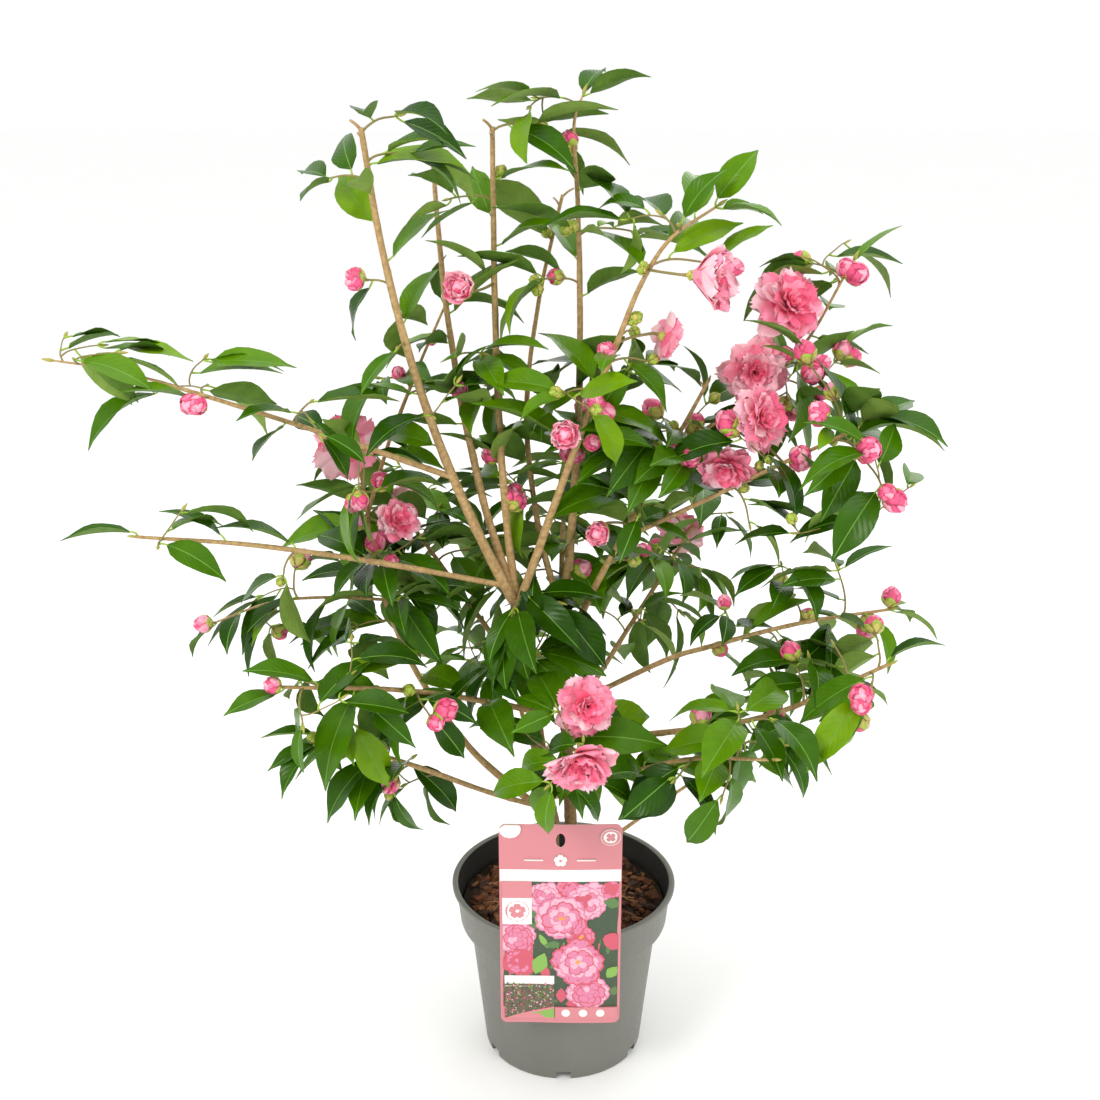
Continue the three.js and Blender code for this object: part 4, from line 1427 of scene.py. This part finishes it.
def makeCard():
    middle = (cardMiddle, labelLow[1] + card["thick"], (labelLow[2] + labelHigh[2]) / 2)
    piece = primitive(bpy.ops.mesh.primitive_plane_add, "labelCard", size=1, location=middle,
                      rotation=(math.pi / 2, 0, 0), scale=(card["width"], card["height"], 1))
    settle(piece)
    editAll(piece)
    bpy.ops.mesh.bevel(offset=card["corner"], segments=6, affect="VERTICES")
    bpy.ops.object.mode_set(mode="OBJECT")
    applyModifier(piece, "SOLIDIFY", thickness=card["thick"] * 0.6, offset=-1)
    cutWith(piece, primitive(
        bpy.ops.mesh.primitive_cylinder_add, "slotCutter", vertices=24, radius=0.5, depth=0.02,
        location=(cardMiddle, middle[1], labelHigh[2] - card["slotDown"]),
        rotation=(math.pi / 2, 0, 0), scale=(card["slotWidth"], card["slotHeight"], 1)))
    editAll(piece)
    for axis, size, count in ((0, card["width"], card["columns"]), (2, card["height"], card["rows"])):
        normal = [float(k == axis) for k in range(3)]
        for k in range(1, count):
            place = [0.0, 0.0, 0.0]
            place[axis] = labelLow[axis] + size * k / count
            bpy.ops.mesh.select_all(action="SELECT")
            bpy.ops.mesh.bisect(plane_co=place, plane_no=normal)
    bpy.ops.object.mode_set(mode="OBJECT")
    for vertex in piece.data.vertices:
        vertex.co.y -= cardWave(vertex.co.x, vertex.co.z)
    for material in cardFinishes:
        piece.data.materials.append(material)
    paintFaces(piece, lambda place, normal: normal.y < -0.5, 1)
    finishPiece(piece, "label_card", "label")


def makeTongue():  # folded strip: back over the lip, then down inside the pot
    thick = card["tongueThick"]
    top = potSize[2] + 0.9 * mm
    back = -(pot["inside"][3][0] * mm - 2.4 * mm)
    front = labelLow[1] + card["thick"] * 1.2
    piece = primitive(bpy.ops.mesh.primitive_cube_add, "labelTongue", size=1,
                      location=(cardMiddle, front + thick / 2, top),
                      scale=(card["tongueWidth"], thick, thick))
    settle(piece)
    editAll(piece)
    selectFaces(piece, lambda place, normal: normal.y > 0.9)
    for run in (back - front - 2 * thick, thick):
        bpy.ops.mesh.extrude_region_move(TRANSFORM_OT_translate={"value": (0, run, 0)})
    selectFaces(piece, lambda place, normal: normal.z < -0.9 and place.y > back - 0.9 * mm)
    bpy.ops.mesh.extrude_region_move(TRANSFORM_OT_translate={"value": (0, 0, -card["tongueDrop"])})
    bpy.ops.object.mode_set(mode="OBJECT")
    applyModifier(piece, "BEVEL", width=0.25 * mm, segments=2, limit_method="ANGLE")
    piece.data.materials.append(cardFinishes[0])
    finishPiece(piece, "label_card")


inkHeap = newHeap()
inkDice = random.Random(8)
inkLayer = 0


def printShape(outline, finish, limits=None):  # outline in mm from the card's top left corner
    global inkLayer
    inkLayer += 1
    outline = np.array(outline, float)
    if limits is not None:
        outline = np.clip(outline, limits[0], limits[1])
        if np.ptp(outline[:, 0]) < 0.5 or np.ptp(outline[:, 1]) < 0.5:
            return
    x, y = outline.T
    area = np.sum(x * np.roll(y, -1) - np.roll(x, -1) * y)
    if abs(area) < 1.0:
        return
    count = len(outline)
    middle = outline.mean(axis=0)[None]
    half = middle + (outline - middle) * 0.5
    high = card["inkHigh"] + inkLayer * card["inkStep"]
    points = []
    for height, rings in ((card["inkLow"], (middle, half, outline)), (high, (outline, half, middle))):
        for across, down in np.concatenate(rings):
            x = labelLow[0] + across * mm
            z = labelHigh[2] - down * mm
            points.append((x, labelLow[1] + card["thick"] - cardWave(x, z) - height, z))
    faces = []
    for k in range(count):
        following = (k + 1) % count
        for ring in range(3):
            a, b = 1 + ring * count + k, 1 + ring * count + following
            face = (a, a + count, b + count, b)
            faces.append(face if ring else face[1:] + face[:1])
        faces.append((0, 1 + k, 1 + following))
        faces.append((1 + 3 * count + k, 1 + 4 * count, 1 + 3 * count + following))
    if area < 0:
        faces = [face[::-1] for face in faces]
    addShape(inkHeap, np.array(points), faces, [finish] * len(faces))


def printBand(left, top, right, bottom, finish, columns=16):  # a flat field, in strips along the wave
    global inkLayer
    layer = inkLayer
    edges = np.linspace(left, right, columns + 1)
    for a, b in zip(edges, edges[1:]):
        inkLayer = layer
        printShape([(a, top), (b, top), (b, bottom), (a, bottom)], finish)


def disc(across, down, radius, tall=None, count=16):
    return [(across + radius * math.cos(k * 2 * math.pi / count),
             down + (tall or radius) * math.sin(k * 2 * math.pi / count)) for k in range(count)]


petalShape = ((0.05, 0.25), (0.3, 0.7), (0.62, 1.0), (0.88, 0.8), (0.98, 0.35), (0.92, 0.0),
              (1.0, -0.35), (0.86, -0.82), (0.6, -1.0), (0.3, -0.7), (0.05, -0.25))
leafShape = ((0, 0), (0.2, 0.6), (0.5, 1), (0.8, 0.55), (1, 0), (0.8, -0.55), (0.5, -1), (0.2, -0.6))


def turnedShape(shape, across, down, angle, length, half):  # shares of the length and half width
    turnX, turnY = math.cos(angle), math.sin(angle)
    return [(across + u * length * turnX - v * half * turnY,
             down + u * length * turnY + v * half * turnX) for u, v in shape]


def printPlainFlower(across, down, turn, length, half, finish, count=5):
    for k in range(count):
        angle = k * 2 * math.pi / count - turn
        printShape(turnedShape(petalShape, across, down, angle, length, half), finish)


def printFlower(across, down, radius, tones, limits, centre):
    for ring, (count, size) in enumerate(((8, 1.0), (7, 0.78), (6, 0.56), (4, 0.34))):
        turn = inkDice.uniform(0, 6.28)
        for k in range(count):
            angle = turn + (k + inkDice.uniform(-0.2, 0.2)) * 2 * math.pi / count
            length = radius * size * inkDice.uniform(0.88, 1.08)
            plain = tones[min(ring, len(tones) - 1)]
            tone = plain if inkDice.random() < 0.75 else inkDice.choice(tones)
            # each petal lies on a deeper one that shows as its edge
            for finish, long, half in ((min(tone + 1, 4), 1.0, 0.44), (tone, 0.93, 0.36)):
                shape = turnedShape(petalShape, across, down, angle, length * long, length * half)
                printShape(shape, finish, limits)
    if centre:
        for _ in range(5):
            spot = across + inkDice.uniform(-2, 2), down + inkDice.uniform(-1.6, 1.6)
            printShape(disc(*spot, 1.5, count=8), 5, limits)


def printLeaf(across, down, angle, length, half, finish, limits):
    printShape(turnedShape(leafShape, across, down, angle, length, half), finish, limits)


artwork = {  # in mm from the card's top left corner
    "picture": ((2.6, 62.0), (card["width"] / mm - 2.4, 204.0)),
    "blurredLeaves": 64,
    "blooms": (  # across, down, radius, petal tones, whether its yellow middle shows
        (44, 80, 19, (2, 2, 3), False), (66, 70, 12, (4, 3), False), (84, 84, 23, (2, 2, 3, 4), False),
        (107, 71, 10, (3, 4), False), (17, 124, 20, (2, 3, 3), False), (18, 153, 17, (4, 3, 4), False),
        (109, 128, 10, (4, 4), False), (78, 124, 14, (4, 3, 4), True), (60, 103, 25, (2, 3, 2, 3), True),
        (86, 187, 22, (2, 3), False), (76, 152, 27, (3, 2, 3, 2), True),
    ),
    "leavesAfter": 7,  # of the blooms
    "leaves": ((34, 166, -1.2, 26, 8, 9), (104, 170, -0.9, 16, 6, 9), (100, 84, 0.2, 18, 6, 8)),
    "panel": (17, 94.5), "inset": ((4.0, 168.0), (52.6, 217.0)), "specks": 300,
    "badge": (106, 13.5), "motif": (58.5, 38.2),
}


def printPicture():
    limits = artwork["picture"]
    printBand(*limits[0], *limits[1], 7)  # dark green ground
    for _ in range(artwork["blurredLeaves"]):
        printLeaf(inkDice.uniform(2, card["width"] / mm - 6), inkDice.uniform(64, 202),
                  inkDice.uniform(0, 6.28), inkDice.uniform(9, 22), inkDice.uniform(3, 6),
                  inkDice.choice((7, 8, 8, 9, 4)), limits)
    for k, (across, down, radius, tones, centre) in enumerate(artwork["blooms"], 1):
        printFlower(across, down, radius, tones, limits, centre)
        if k == artwork["leavesAfter"]:
            for shape in artwork["leaves"]:
                printLeaf(*shape, limits)


def printPanel():  # pink above, then a white square with a plain flower in a ring
    across, down = artwork["panel"]
    printBand(2.6, 62, 31, 80, 0, 4)
    printBand(2.6, 80, 31, 109, 1, 4)
    printShape(disc(across, down, 11.6, count=24), 0)
    printShape(disc(across, down, 10.9, count=24), 1)
    printPlainFlower(across, down, 1.57, 8.4, 3.6, 0)
    printShape(disc(across, down, 1.8), 1)


def printInset():  # a speckled flower hedge over a green lawn, under a pale sky
    limits = artwork["inset"]
    (left, top), (right, bottom) = limits
    printBand(left, top, right, 180, 1, 6)
    printBand(left, 177, right, bottom, 10, 6)
    for _ in range(artwork["specks"]):
        across = inkDice.uniform(left, right)
        down = inkDice.uniform(176, 215)
        speck = disc(across, down, inkDice.uniform(0.5, 1.1), count=6)
        printShape(speck, inkDice.choice((2, 3, 4, 7, 8, 9, 6)), limits)
    printShape([(4, 217), (18, 212), (36, 207), (52.6, 203), (52.6, 217)], 0, limits)
    printShape([(18, 214.5), (30, 211), (52.6, 205), (52.6, 216), (18, 216)], 9, limits)


def printMarks():  # a pale corner patch, a ringed flower, and a flower between two short lines
    corner = [(10.5 + 10.5 * math.cos(a), 5 + 9.6 * math.sin(a))
              for a in (3.14, 2.6, 2.1, 1.57, 1.0, 0.5, 0.0, -0.35)]
    printShape([(0.6, 4)] + corner + [(19, 0.6), (6, 0.6)], 1)
    across, down = artwork["badge"]
    for radius, tall, finish in ((9.6, 8.6, 1), (9.1, 8.1, 0), (7.0, 6.2, 1)):
        printShape(disc(across, down, radius, tall, 24), finish)
    printPlainFlower(across, down, 0.8, 5.0, 2.2, 0, count=4)
    across, down = artwork["motif"]
    for left in (24, 74):
        printBand(left, 37.6, left + 18, 38.6, 1, 3)
    printPlainFlower(across, down, 1.57, 6.4, 2.8, 1)
    printShape(disc(across, down, 1.5), 0)


def printLabel():
    wide = card["width"] / mm
    printBand(0.6, 49, wide - 0.6, 62, 1)  # plain white strip
    printPicture()
    printPanel()
    printInset()
    printBand(53.5, 204, wide - 2.4, 217, 0, 8)  # pink foot with three white discs
    for across in (64, 81, 98):
        printShape(disc(across, 210.5, 4.2), 1)
    printMarks()


def inkMaterial(name, code):
    # offset ink under a gloss varnish: flat, even colour with a fine paper tooth
    material, tree, shader, point = newMaterial(name, {
        "Roughness": 0.34, "Coat Weight": 0.35, "Coat Roughness": 0.15,
    })
    tooth = addNode(tree, "TexNoise", {
        "Vector": point, "Scale": 1 / (2.5 * mm), "Detail": 3.0, "Roughness": 0.55,
    })
    colour = hexToLinear(code)
    paler = (*(channel * 0.9 + 0.03 for channel in colour[:3]), 1.0)
    shade = addNode(tree, "Mix", {0: tooth, 6: colour, 7: paler}, 2, data_type="RGBA")
    tree.links.new(shade, shader.inputs["Base Color"])
    bump = addNode(tree, "Bump", {"Height": tooth, "Strength": 0.06, "Distance": 0.1 * mm})
    tree.links.new(bump, shader.inputs["Normal"])
    return material


cardFinishes = [inkMaterial("cardBack", "#e6e3dd"), inkMaterial("cardPink", "#cf7c84")]
inkFinishes = [
    inkMaterial(name, code) for name, code in (
        ("inkPink", "#cf7c84"), ("inkWhite", "#efece8"), ("inkBlush", "#e0adc0"),
        ("inkRosePink", "#d6789c"), ("inkCoral", "#c9485f"), ("inkYellow", "#dd982c"),
        ("inkBrown", "#4f3a28"), ("inkForest", "#24401c"), ("inkGreen", "#4b7530"),
        ("inkLime", "#7aab3e"), ("inkHedge", "#574c33"),
    )
]
makeCard()
makeTongue()
printLabel()
finishPiece(heapToPiece("labelPrint", inkHeap, inkFinishes, smooth=False), "label_card")
print("label made, shapes", inkLayer)
